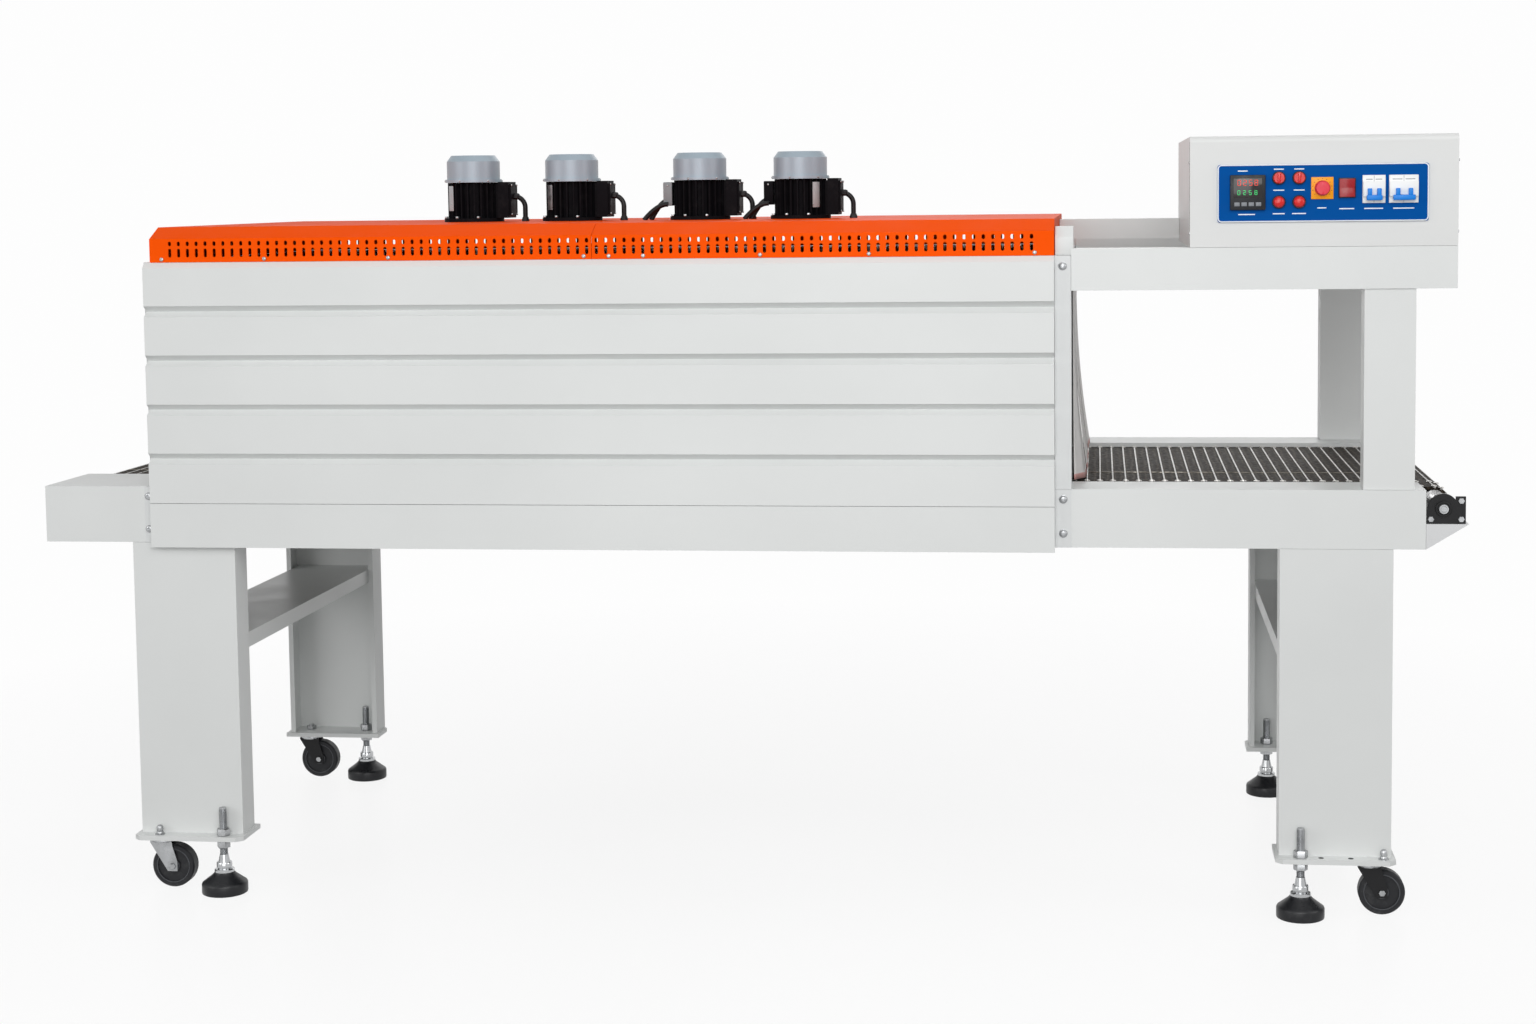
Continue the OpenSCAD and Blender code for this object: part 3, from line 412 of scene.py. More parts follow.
class Piece:
    """Collects mesh parts of one scene piece and turns them into an object."""

    def __init__(self, name: str, finish: Finish, smooth: float = 40.0) -> None:
        """Starts an empty piece.

        Args:
            name: the object's name.
            finish: the first finish.
            smooth: faces that meet at less than this angle, in degrees, are shaded smooth.
        """
        self.name = name
        self.finishes = [finish]
        self.smooth = smooth
        self.mesh = bmesh.new()
        self.slot = 0

    def use(self, finish: Finish) -> "Piece":
        """Gives the next parts another finish.

        Args:
            finish: the finish that follows.

        Returns:
            The piece itself.
        """
        if finish not in self.finishes:
            self.finishes.append(finish)
        self.slot = self.finishes.index(finish)
        return self

    def _close(self, faces: Iterable[bmesh.types.BMFace]) -> None:
        """Sets the finish on new faces."""
        for face in faces:
            face.material_index = self.slot
            face.smooth = True

    def block(self, low: Vector, high: Vector, bevel: float = 0.0, segments: int = 2) -> None:
        """Adds a box with rounded edges.

        Args:
            low: lowest corner.
            high: highest corner.
            bevel: radius of its edges.
            segments: steps round each edge.
        """
        part = bmesh.new()
        bmesh.ops.create_cube(part, size=1.0)
        size = high - low
        bmesh.ops.scale(part, vec=size, verts=part.verts)
        bmesh.ops.translate(part, vec=(low + high) / 2, verts=part.verts)
        if bevel > 0:
            bmesh.ops.bevel(part, geom=part.edges[:], offset=min(bevel, min(size) * 0.49), segments=segments, profile=0.5, affect="EDGES")
        self.take(part)

    def lathe(self, centre: Vector, axis: Vector, profile: Sequence[tuple[float, float]], sides: int = 32) -> None:
        """Turns a profile round an axis.

        Args:
            centre: where the profile starts.
            axis: direction of the axis.
            profile: (radius, distance along the axis) pairs in metres.
            sides: steps round the axis.
        """
        part = bmesh.new()
        rings = []
        for radius, height in profile:
            if radius < 1e-6:
                rings.append([part.verts.new((0, 0, height))])
            else:
                rings.append([part.verts.new((radius * math.cos(math.tau * i / sides), radius * math.sin(math.tau * i / sides), height)) for i in range(sides)])
        for lower, upper in zip(rings, rings[1:]):
            if len(lower) == 1 and len(upper) == 1:
                continue
            for i in range(sides):
                j = (i + 1) % sides
                if len(lower) == 1:
                    part.faces.new((lower[0], upper[j], upper[i]))
                elif len(upper) == 1:
                    part.faces.new((lower[i], lower[j], upper[0]))
                else:
                    part.faces.new((lower[i], lower[j], upper[j], upper[i]))
        if len(rings[0]) > 1:
            part.faces.new(list(reversed(rings[0])))
        if len(rings[-1]) > 1:
            part.faces.new(rings[-1])
        turn = Vector((0, 0, 1)).rotation_difference(axis.normalized()).to_matrix().to_4x4()
        bmesh.ops.transform(part, matrix=Matrix.Translation(centre) @ turn, verts=part.verts)
        self.take(part)

    def tube(self, points: Sequence[Vector], radius: float, sides: int = 8, closed: bool = False) -> None:
        """Sweeps a round section along points.

        Args:
            points: the centre line.
            radius: radius of the section.
            sides: steps round the section.
            closed: True if the line is a loop.
        """
        part = bmesh.new()
        count = len(points)
        rings = []
        normal = None
        for index, point in enumerate(points):
            before = points[index - 1] if (index or closed) else point
            after = points[(index + 1) % count] if (index < count - 1 or closed) else point
            tangent = (after - before).normalized()
            if normal is None:
                normal = tangent.orthogonal().normalized()
            normal = (normal - tangent * normal.dot(tangent)).normalized()
            side = tangent.cross(normal)
            rings.append([part.verts.new(point + radius * (math.cos(math.tau * i / sides) * normal + math.sin(math.tau * i / sides) * side)) for i in range(sides)])
        pairs = list(zip(rings, rings[1:])) + ([(rings[-1], rings[0])] if closed else [])
        for lower, upper in pairs:
            for i in range(sides):
                j = (i + 1) % sides
                part.faces.new((lower[i], lower[j], upper[j], upper[i]))
        if not closed:
            part.faces.new(list(reversed(rings[0])))
            part.faces.new(rings[-1])
        self.take(part)

    def extrude(self, outline: Sequence[tuple[float, float]], place: Callable[[float, float, float], Vector], low: float, high: float, bevel: float = 0.0) -> None:
        """Stretches a flat outline.

        Args:
            outline: corner points, anticlockwise as seen from the high end.
            place: turns (u, v, depth) into a point.
            low: depth where it starts.
            high: depth where it ends.
            bevel: rounding of all its edges.
        """
        part = bmesh.new()
        bottom = [part.verts.new(place(u, v, low)) for u, v in outline]
        top = [part.verts.new(place(u, v, high)) for u, v in outline]
        count = len(outline)
        part.faces.new(list(reversed(bottom)))
        part.faces.new(top)
        for i in range(count):
            j = (i + 1) % count
            part.faces.new((bottom[i], bottom[j], top[j], top[i]))
        bmesh.ops.recalc_face_normals(part, faces=part.faces)
        if bevel > 0:
            bmesh.ops.bevel(part, geom=part.edges[:], offset=bevel, segments=2, profile=0.5, affect="EDGES")
        self.take(part)

    def take(self, part: bmesh.types.BMesh) -> None:
        """Joins a finished part into the piece and frees it."""
        self._close(part.faces)
        holder = bpy.data.meshes.new("part")
        part.to_mesh(holder)
        part.free()
        self.mesh.from_mesh(holder)
        bpy.data.meshes.remove(holder)

    def build(self, body: str, slot: str) -> bpy.types.Object:
        """Makes the object, gives it its finishes and lets it ride.

        Args:
            body: the CAD body it moves with.
            slot: the record's material slot it belongs to; not used.

        Returns:
            The new object.
        """
        bmesh.ops.recalc_face_normals(self.mesh, faces=self.mesh.faces)
        data = bpy.data.meshes.new(self.name)
        self.mesh.to_mesh(data)
        self.mesh.free()
        for finish in self.finishes:
            data.materials.append(finish.material())
        obj = bpy.data.objects.new(self.name, data)
        bpy.context.scene.collection.objects.link(obj)
        data.set_sharp_from_angle(angle=math.radians(self.smooth))
        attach(obj, body)
        LOG.info("made %s with %d faces", self.name, len(data.polygons))
        return obj


def dress(finish: Finish, *nodes: str) -> None:
    """Gives carried-over CAD nodes a finish.

    Args:
        finish: the finish.
        *nodes: names of the nodes.
    """
    for name in nodes:
        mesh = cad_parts[name].data
        mesh.materials.clear()
        mesh.materials.append(finish.material())
        LOG.info("dressed %s", name)


def screw_profile(radius: float, height: float) -> list[tuple[float, float]]:
    """Gives the outline of a domed screw head.

    Args:
        radius: radius of the head.
        height: height of the head.

    Returns:
        (radius, height) pairs for a lathe.
    """
    return [(radius, 0.0), (radius, height * 0.35), (radius * 0.86, height * 0.72), (radius * 0.55, height * 0.95), (radius * 0.42, height), (radius * 0.4, height * 0.2), (0.0, height * 0.2)]


def hexagon(radius: float, height: float) -> list[tuple[float, float]]:
    """Gives the outline of a nut or bolt head for a six-sided lathe."""
    return [(radius * 0.92, 0.0), (radius, height * 0.12), (radius, height * 0.85), (radius * 0.88, height), (0.0, height)]


FRONT = Vector((0, -1, 0))
BACK = Vector((0, 1, 0))
UP = Vector((0, 0, 1))
RIGHT = Vector((1, 0, 0))
LEFT = Vector((-1, 0, 0))
ROOT = "frame"


# ---------------------------------------------------------------- sub-assemblies


@dataclass
class Housing:
    """Ribbed tunnel housing with its end frames and bolts."""

    top: float = 1387.0
    strip_face: float = 16.0
    frame_face: float = 18.0
    outfeed_bolt_x: float = 1983.5
    infeed_bolt_x: float = -9.0
    bolt_radius: float = 8.0
    beam_bolts: tuple[float, ...] = (877.0, 805.0)
    upper_bolt: float = 1365.0

    def build(self) -> None:
        """Dresses the housing and adds its fasteners."""
        dress(Finish.LIGHT_PAINT, "wall_front", "wall_back", "skirt_front", "skirt_back")
        dress(Finish.END_PAINT, "end_frame_left", "end_frame_right", "joint_strips")
        dress(Finish.TRAY_PAINT, "roof")
        self.bolts()
        self.caps()

    def bolts(self) -> None:
        """Adds the round-headed bolts on the joint strips and the outfeed end frame."""
        piece = Piece("end_frame_bolts", Finish.ZINC)
        profile = [(r * MM, h * MM) for r, h in screw_profile(self.bolt_radius, 5.5)]
        washer = [(r * MM, h * MM) for r, h in ((9.0, -0.5), (9.0, 0.8), (8.4, 1.2), (0.0, 1.2))]
        spots = [(x, z, self.strip_face) for x in (self.infeed_bolt_x, self.outfeed_bolt_x) for z in self.beam_bolts]
        spots.append((self.outfeed_bolt_x, self.upper_bolt, self.frame_face))
        for x, z, y in spots:
            for face, direction in ((y, FRONT), (mirrored_y(y), BACK)):
                piece.lathe(at(x, face, z), direction, profile, 20)
                if x > 0:
                    piece.lathe(at(x, face, z), direction, washer, 20)
        piece.build(ROOT, "zinc_steel")

    def caps(self) -> None:
        """Adds the chamfered cap box on each upper corner of the outfeed end frame."""
        piece = Piece("end_frame_caps", Finish.LIGHT_PAINT)
        start, end, base, top = 1968.0, 2006.0, 1387.5, 1447.0
        for side in (1, -1):
            def place(u: float, v: float, depth: float) -> Vector:
                """Puts an outline point on its side of the machine."""
                return at(depth, u if side > 0 else mirrored_y(u), v)
            piece.extrude([(18.5, base), (84.0, base), (84.0, top), (40.0, top), (18.5, 1424.0)], place, start, end, 0.0012)
        piece.build(ROOT, "grey_sheet")


@dataclass
class Cover:
    """Slotted orange cover with the screws along its edges."""

    face_y: float = 12.0
    bottom: float = 1387.0
    screw_height: float = 1394.0
    screw_places: tuple[float, ...] = (40.0, 270.0, 545.0, 972.0, 1026.0, 1100.0, 1350.0, 1580.0, 1926.0)

    def build(self) -> None:
        """Dresses both halves and adds the screws."""
        dress(Finish.ORANGE_PAINT, "cover_left", "cover_right")
        piece = Piece("cover_screws", Finish.ZINC)
        profile = [(r * MM, h * MM) for r, h in screw_profile(4.6, 3.0)]
        for x in self.screw_places:
            piece.lathe(at(x, self.face_y, self.screw_height), FRONT, profile, 14)
            piece.lathe(at(x, mirrored_y(self.face_y), self.screw_height), BACK, profile, 14)
        piece.build(ROOT, "zinc_steel")


@dataclass
class Blowers:
    """Four upright blower motors: caps, fins, terminal boxes and leads."""

    centre_y: float = TUNNEL_WIDTH / 2
    cover_top: float = 1463.0
    offsets: tuple[float, ...] = (-388.0, -152.0, 152.0, 388.0)
    cap_base: float = 1555.0
    cap_radius: float = 62.0
    cap_height: float = 63.0
    box_reach: float = 97.0
    box_base: float = 1471.5
    box_height: float = 84.0
    lead_rise: float = 50.0
    side_reach: float = 75.5
    side_lead: float = 1508.0
    side_shift: float = -18.0
    lead_radius: float = 5.8
    places: list[float] = field(default_factory=list)

    def build(self) -> None:
        """Dresses the motors and adds what is too fine for the solids."""
        self.places = [TUNNEL_LENGTH / 2 + offset for offset in self.offsets]
        dress(Finish.BLACK_CAST, "motor_bodies", "terminal_boxes")
        dress(Finish.SILVER_PAINT, "fan_caps")
        self.fasteners()
        self.plates()
        self.side_boxes()
        self.leads()

    def fasteners(self) -> None:
        """Adds flange bolts, cap screws and lid screws."""
        piece = Piece("motor_fasteners", Finish.ZINC)
        nut = [(r * MM, h * MM) for r, h in hexagon(6.0, 5.0)]
        small = [(r * MM, h * MM) for r, h in screw_profile(2.6, 1.8)]
        for x in self.places:
            for i in range(8):
                angle = math.tau * (i + 0.5) / 8
                if math.cos(angle) > 0.9:
                    continue
                piece.lathe(at(x + 65.5 * math.cos(angle), self.centre_y + 65.5 * math.sin(angle), self.cover_top + 8), UP, [(r * 0.72, h) for r, h in nut], 6)
            for i in range(6):
                angle = math.tau * (i + 0.25) / 6
                outward = Vector((math.cos(angle), math.sin(angle), 0))
                piece.lathe(at(x, self.centre_y, self.cap_base + 3.5) + outward * (self.cap_radius + 4.0) * MM, outward, small, 10)
            for y in (-28.0, 28.0):
                for z in (8.0, self.box_height - 8.0):
                    piece.lathe(at(x + self.box_reach - 0.1, self.centre_y + y * 0.94, self.box_base + z), RIGHT, small, 10)
        piece.build(ROOT, "zinc_steel")

    def plates(self) -> None:
        """Adds the bare plate on three of the motors."""
        piece = Piece("motor_plates", Finish.PLATE_METAL)
        for x, turn in zip((self.places[0], self.places[1], self.places[3]), (-0.78, -0.78, 0.74)):
            part = bmesh.new()
            steps, half, radius = 8, math.radians(9), 61.4
            for inner in (0, 1):
                for k in range(steps + 1):
                    angle = -math.pi / 2 + turn + half * (2 * k / steps - 1)
                    for z in (0.0, 58.0):
                        part.verts.new(at(x + (radius + inner) * math.cos(angle), self.centre_y + (radius + inner) * math.sin(angle), self.cover_top + 26 + z))
            part.verts.ensure_lookup_table()
            stride = 2 * (steps + 1)
            for k in range(steps):
                a = 2 * k
                part.faces.new([part.verts[i] for i in (a, a + 1, a + 3, a + 2)])
                part.faces.new([part.verts[stride + i] for i in (a, a + 2, a + 3, a + 1)])
                part.faces.new([part.verts[i] for i in (a, a + 2, stride + a + 2, stride + a)])
                part.faces.new([part.verts[i] for i in (a + 1, stride + a + 1, stride + a + 3, a + 3)])
            part.faces.new([part.verts[i] for i in (0, stride, stride + 1, 1)])
            last = 2 * steps
            part.faces.new([part.verts[i] for i in (last, last + 1, stride + last + 1, stride + last)])
            piece.take(part)
        piece.build(ROOT, "silver_paint")

    def side_boxes(self) -> None:
        """Adds the lids of the small boxes beside the two motors near the outfeed."""
        for index, finish in ((2, Finish.GREY_BOX), (3, Finish.BLACK_CAST)):
            piece = Piece(f"side_box_lid_{index + 1}", finish)
            x, y, z = self.places[index] - self.side_reach - 0.4, self.centre_y, self.cover_top + 32.6
            piece.block(at(x - 7.0, y - 26.6, z), at(x + 14.6, y + 26.6, z + 54.8), 0.0022, 3)
            piece.use(Finish.ZINC)
            for dz in (7.0, 47.0):
                piece.lathe(at(x + 3.5, y - 26.4, z + dz), FRONT, [(r * MM, h * MM) for r, h in screw_profile(2.4, 1.6)], 10)
            piece.build(ROOT, "black_paint")

    def leads(self) -> None:
        """Adds the short fixed leads that arch down to glands in the cover."""
        piece = Piece("motor_lead_arcs", Finish.BLACK_SHEATH)
        for index, x in enumerate(self.places):
            self.arc(piece, x + self.box_reach, 1.0, self.box_base + self.lead_rise, 0.0)
            if index >= 2:
                for step in (0.0, 1.0):
                    self.slant(piece, x - self.side_reach, self.side_lead - 9.0 * step, self.side_shift - 15.0 * step, 38.0 + 14.0 * step)
        made = piece.build(ROOT, "black_rubber")
        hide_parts("motor_leads")

    def slant(self, piece: Piece, x: float, z: float, shift: float, reach: float) -> None:
        """Adds one lead that runs slanting down from a side box to the cover.

        Args:
            piece: the piece that takes it.
            x: where it leaves the box.
            z: height where it leaves the box.
            shift: distance from the motors' middle line.
            reach: how far towards the infeed it lands.
        """
        y, steps = self.centre_y + shift, 12
        points = []
        for k in range(steps + 1):
            t = k / steps
            points.append(at(x + 5.0 * (1 - t) ** 2 - 0.36 * reach * 2 * t * (1 - t) - reach * t * t, y, z * (1 - t) ** 2 + (z + 2.0) * 2 * t * (1 - t) + self.cover_top * t * t))
        piece.tube(points, self.lead_radius * MM, 12)

    def arc(self, piece: Piece, x: float, side: float, z: float, shift: float) -> None:
        """Adds one lead with its glands.

        Args:
            piece: the piece that takes it.
            x: where it leaves the box.
            side: 1 towards the outfeed, -1 towards the infeed.
            z: height where it leaves the box.
            shift: distance from the motors' middle line.
        """
        y = self.centre_y + shift
        reach, foot = 26.0, self.cover_top
        points = []
        for k in range(13):
            angle = math.pi / 2 * k / 12
            points.append(at(x + side * reach * math.sin(angle), y, z - reach * (1 - math.cos(angle))))
        drop = z - reach - foot
        for k in range(1, 7):
            points.append(at(x + side * reach, y, z - reach - drop * k / 6))
        piece.tube(points, self.lead_radius * MM, 12)
        direction = RIGHT * side
        piece.lathe(at(x, y, z), direction, [(0.0075, 0.0), (0.0075, 0.008), (0.0062, 0.012), (0.0046, 0.013)], 6)
        piece.lathe(at(x + side * reach, y, foot), UP, [(0.009, 0.0), (0.009, 0.004), (0.0068, 0.010), (0.0046, 0.011)], 6)


@dataclass
class Conveyor:
    """Side beams, woven belt, end rollers, bearings and tray."""

    belt_height: float = 890.0
    near: float = 160.0
    far: float = 959.0
    roller_radius: float = 22.0
    belt_thickness: float = 6.0
    rod_pitch: float = 28.0
    rod_radius: float = 2.3
    seam_row: float = 80.0
    left_roller: float = -215.5
    right_roller: float = 2762.0
    roller_height: float = 859.75

    def build(self) -> None:
        """Dresses the conveyor and adds the belt's wires and links."""
        dress(Finish.LIGHT_PAINT, "side_beam_front", "side_beam_back")
        dress(Finish.BELT, "belt")
        dress(Finish.RAIL, "slide_rails", "cross_bars")
        dress(Finish.LIGHT_PAINT, "infeed_guards")
        dress(Finish.BRIGHT_STEEL, "end_rollers")
        dress(Finish.BLACK_PLATE, "bearing_plates")
        dress(Finish.TRAY_PAINT, "catch_tray")
        self.rods()
        self.hooks()
        self.side_wires()
        self.bearings()

    @property
    def spacing(self) -> float:
        """Distance between two cross rods."""
        span = self.right_roller - self.left_roller
        return span / math.floor(span / self.rod_pitch)

    def rod_places(self) -> list[tuple[float, float]]:
        """Gives the place of every cross rod round the loop, as (x, z)."""
        count = math.floor((self.right_roller - self.left_roller) / self.rod_pitch)
        reach = self.roller_radius + self.belt_thickness + 0.5 - 0.45
        places = [(self.left_roller + i * self.spacing, self.roller_height + reach) for i in range(count + 1)]
        for degrees in (60, 30, 0, -30, -60):
            angle = math.radians(degrees)
            places.append((self.right_roller + reach * math.cos(angle), self.roller_height + reach * math.sin(angle)))
        places += [(self.right_roller - i * self.spacing, self.roller_height - reach) for i in range(count + 1)]
        for degrees in (-120, -150, 180, 150, 120):
            angle = math.radians(degrees)
            places.append((self.left_roller + reach * math.cos(angle), self.roller_height + reach * math.sin(angle)))
        return places

    def rods(self) -> None:
        """Adds the bright cross rods with their upset ends."""
        piece = Piece("belt_rods", Finish.ROD_STEEL)
        for x, z in self.rod_places():
            length = (self.far - self.near) * MM
            r = self.rod_radius * MM
            piece.lathe(at(x, self.near - 1, z), BACK, [(r * 0.7, -0.001), (r * 1.25, 0.0), (r * 1.25, 0.003), (r, 0.0035), (r, length - 0.0015), (r * 1.25, length - 0.001), (r * 1.25, length + 0.002), (r * 0.7, length + 0.003)], 8)
        piece.build(ROOT, "woven_steel")

    def hooks(self) -> None:
        """Adds the bright links that hold each cross rod at both edges and along the near seam."""
        piece = Piece("belt_rod_hooks", Finish.HOOK_STEEL)
        for x, z in self.rod_places():
            if z < self.roller_height + 20:
                continue
            for edge, turn in ((self.near + 1.0, 1), (self.near + self.seam_row, 1), (self.far - 1.0, -1)):
                points = []
                for k in range(6):
                    angle = math.tau * k / 6
                    points.append(at(x + 5.0 * math.cos(angle), edge + turn * (7.4 + 6.4 * math.sin(angle)), z + 1.0))
                piece.tube(points, 2.1 * MM, 6, True)
        piece.build(ROOT, "woven_steel")

    def side_wires(self) -> None:
        """Adds the crinkled lengthwise wires that lie over the rods."""
        piece = Piece("belt_side_wires", Finish.WIRE)
        top = self.roller_height + self.roller_radius + self.belt_thickness + 0.5 + 0.6
        for y, seed in ((self.near + 250.0, 3),):
            draw = random.Random(seed)
            for start, end in ((self.left_roller, -20.0), (TUNNEL_LENGTH + 10.0, self.right_roller)):
                steps = int((end - start) / (self.spacing / 4))
                points = [at(start + (end - start) * k / steps, y + 2.2 * math.sin(k * math.pi / 2) + draw.uniform(-0.8, 0.8), top) for k in range(steps + 1)]
                piece.tube(points, 1.3 * MM, 6)
        piece.build(ROOT, "woven_steel")

    def bearings(self) -> None:
        """Adds shaft ends, collars and bolts at both bearing plates."""
        piece = Piece("bearing_fittings", Finish.ZINC)
        bolt = [(r * MM, h * MM) for r, h in hexagon(6.5, 5.0)]
        for y, direction in ((18.0, FRONT), (mirrored_y(18.0), BACK)):
            place = at(self.right_roller, y, self.roller_height)
            piece.use(Finish.BLACK_PLATE).lathe(place, direction, [(0.0165, -0.004), (0.0165, 0.002), (0.0152, 0.0035), (0.0128, 0.0035), (0.0118, 0.0022), (0.0, 0.0022)], 32)
            piece.use(Finish.ZINC).lathe(place, direction, [(0.0104, 0.001), (0.0104, 0.0062), (0.0095, 0.0076), (0.0066, 0.0076), (0.0060, 0.0066), (0.0, 0.0066)], 28)
            for x, z in ((2737.0, 838.0), (2798.0, 838.0), (2798.0, 876.0)):
                piece.lathe(at(x, y + (4 if direction is FRONT else -4), z), direction, bolt, 6)
        piece.build(ROOT, "zinc_steel")


@dataclass
class Stand:
    """Legs, stretchers, levelling feet and casters."""

    feet: tuple[tuple[float, float], ...] = ((143.0, 1.0), (2475.0, 1.0), (143.0, 1061.0), (2475.0, 1061.0))
    casters: tuple[tuple[float, float], ...] = ((-6.0, 36.0), (2620.0, 36.0), (-6.0, 1065.0), (2620.0, 1065.0))
    names: tuple[str, ...] = ("front_left", "front_right", "back_left", "back_right")
    plate_top: float = 127.0
    plate_bottom: float = 117.0
    wheel_height: float = 51.0
    trail: float = 24.0
    wheel_half: float = 15.0
    bolt_places: tuple[float, ...] = (-2.0, 2645.0)
    hole_places: tuple[float, ...] = (2517.0, 2578.0)

    def build(self) -> None:
        """Dresses the stand and builds its feet and casters."""
        dress(Finish.LIGHT_PAINT, "leg_front_left", "leg_front_right", "leg_back_left", "leg_back_right", "stretcher_left", "stretcher_right")
        dress(Finish.ZINC, "caster_fork_1")
        dress(Finish.BLACK_PLATE, "caster_fork_2", "caster_fork_3", "caster_fork_4")
        for number, name in enumerate(self.names, 1):
            dress(Finish.WHEEL_PLASTIC, f"caster_wheel_{number}")
        self.levelling_feet()
        self.caster_fittings()
        self.wheel_rings()
        self.plate_bolts()

    def wheel_rings(self) -> None:
        """Adds the rim ring and the hub ring on both faces of each wheel."""
        for (x, y), name in zip(self.casters, self.names):
            piece = Piece(f"caster_wheel_rings_{name}", Finish.RIM_PLASTIC)
            for side in (-1, 1):
                for radius, face in ((37.0, self.wheel_half - 0.2), (13.0, self.wheel_half + 0.4)):
                    points = [at(x + self.trail + radius * math.cos(math.tau * k / 32), y + side * face, self.wheel_height + radius * math.sin(math.tau * k / 32)) for k in range(32)]
                    piece.tube(points, 1.3 * MM, 6, True)
            piece.build(f"wheel_{name}", "black_plastic")

    def plate_bolts(self) -> None:
        """Adds the spare bolt, and flat dark discs as painted shade for the open holes on the front base plates."""
        piece = Piece("base_plate_bolts", Finish.ZINC)
        for x in self.bolt_places:
            piece.lathe(at(x, 1.0, self.plate_top), UP, [(0.011, -0.0004), (0.011, 0.0014), (0.0102, 0.002), (0.0, 0.002)], 20)
            piece.lathe(at(x, 1.0, self.plate_top + 1.8), UP, [(0.0076, 0.0), (0.0076, 0.004), (0.0068, 0.005), (0.0072, 0.006), (0.0072, 0.0145), (0.0060, 0.0175), (0.0032, 0.0192), (0.0, 0.0196)], 20)
        # Painted shade: each open hole is a flat dark disc on the plate, standing in for the shade inside the hole.
        piece.use(Finish.DARK_GAP)
        for x in self.hole_places:
            piece.lathe(at(x, 1.0, self.plate_top), UP, [(0.0058, -0.0003), (0.0058, 0.0002), (0.0054, 0.0004), (0.0, 0.0004)], 20)
        piece.build(ROOT, "zinc_steel")

    def levelling_feet(self) -> None:
        """Adds pads, rings, threaded studs and nuts, in place of the plain solids."""
        piece = Piece("levelling_feet_detail", Finish.FOOT_PLASTIC)
        for x, y in self.feet:
            base = at(x, y, 0)
            piece.use(Finish.FOOT_PLASTIC).lathe(base, UP, [(0.047, 0.0), (0.0495, 0.0015), (0.05, 0.004), (0.05, 0.021), (0.0485, 0.0245), (0.045, 0.027), (0.028, 0.040), (0.0235, 0.044), (0.022, 0.047), (0.0, 0.047)], 56)
            piece.use(Finish.CHROME).lathe(base, UP, [(0.0205, 0.046), (0.0218, 0.0475), (0.0218, 0.0525), (0.0205, 0.054), (0.0145, 0.0545), (0.0145, 0.0565), (0.0168, 0.058), (0.0168, 0.0675), (0.0158, 0.069), (0.0128, 0.069), (0.0094, 0.086), (0.0, 0.086)], 48)
            self.thread(piece.use(Finish.ZINC), x, y, 78.0, 190.0, 8.8)
            for z in (self.plate_bottom - 16.2, self.plate_top + 0.2):
                piece.lathe(at(x, y, z), UP, [(r * MM, h * MM) for r, h in ((13.6, 0.0), (15.0, 1.4), (15.0, 14.4), (13.6, 16.0), (0.0, 16.0))], 6)
        made = piece.build(ROOT, "black_plastic")
        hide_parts("levelling_feet")

    def thread(self, piece: Piece, x: float, y: float, low: float, high: float, radius: float) -> None:
        """Adds a threaded stud.

        Args:
            piece: the piece that takes it.
            x: place along the machine.
            y: place across the machine.
            low: lower end.
            high: upper end.
            radius: outer radius of the thread.
        """
        pitch = 2.0
        profile = [(radius - 1.2, low)]
        z = low
        while z + pitch < high - 1.5:
            profile += [(radius, z + pitch * 0.5), (radius - 1.1, z + pitch)]
            z += pitch
        profile += [(radius - 1.2, high), (0.0, high)]
        piece.lathe(at(x, y, 0), UP, [(r * MM, h * MM) for r, h in profile], 16)

    def caster_fittings(self) -> None:
        """Adds axle nuts on each wheel's fork, a nut on top of each caster plate and a round disc below the plate."""
        for index, name in enumerate(self.names):
            x, y = self.casters[index]
            piece = Piece(f"caster_axle_nuts_{name}", Finish.ZINC)
            for side in (-1, 1):
                place = at(x + self.trail, y + side * 20.0, self.wheel_height)
                piece.lathe(place, Vector((0, side, 0)), [(r * MM, h * MM) for r, h in hexagon(7.0, 5.0)], 6)
            piece.lathe(at(x, y, self.plate_top + 0.3), UP, [(0.0118, 0.0), (0.0128, 0.001), (0.0128, 0.0086), (0.0116, 0.0098), (0.0066, 0.0098), (0.0066, 0.0125), (0.0, 0.0125)], 6)
            piece.lathe(at(x, y, self.plate_bottom - 9.6), -UP, [(0.029, -0.004), (0.0295, 0.0), (0.027, 0.003), (0.0, 0.003)], 32)
            piece.build(f"swivel_{name}", "zinc_steel")


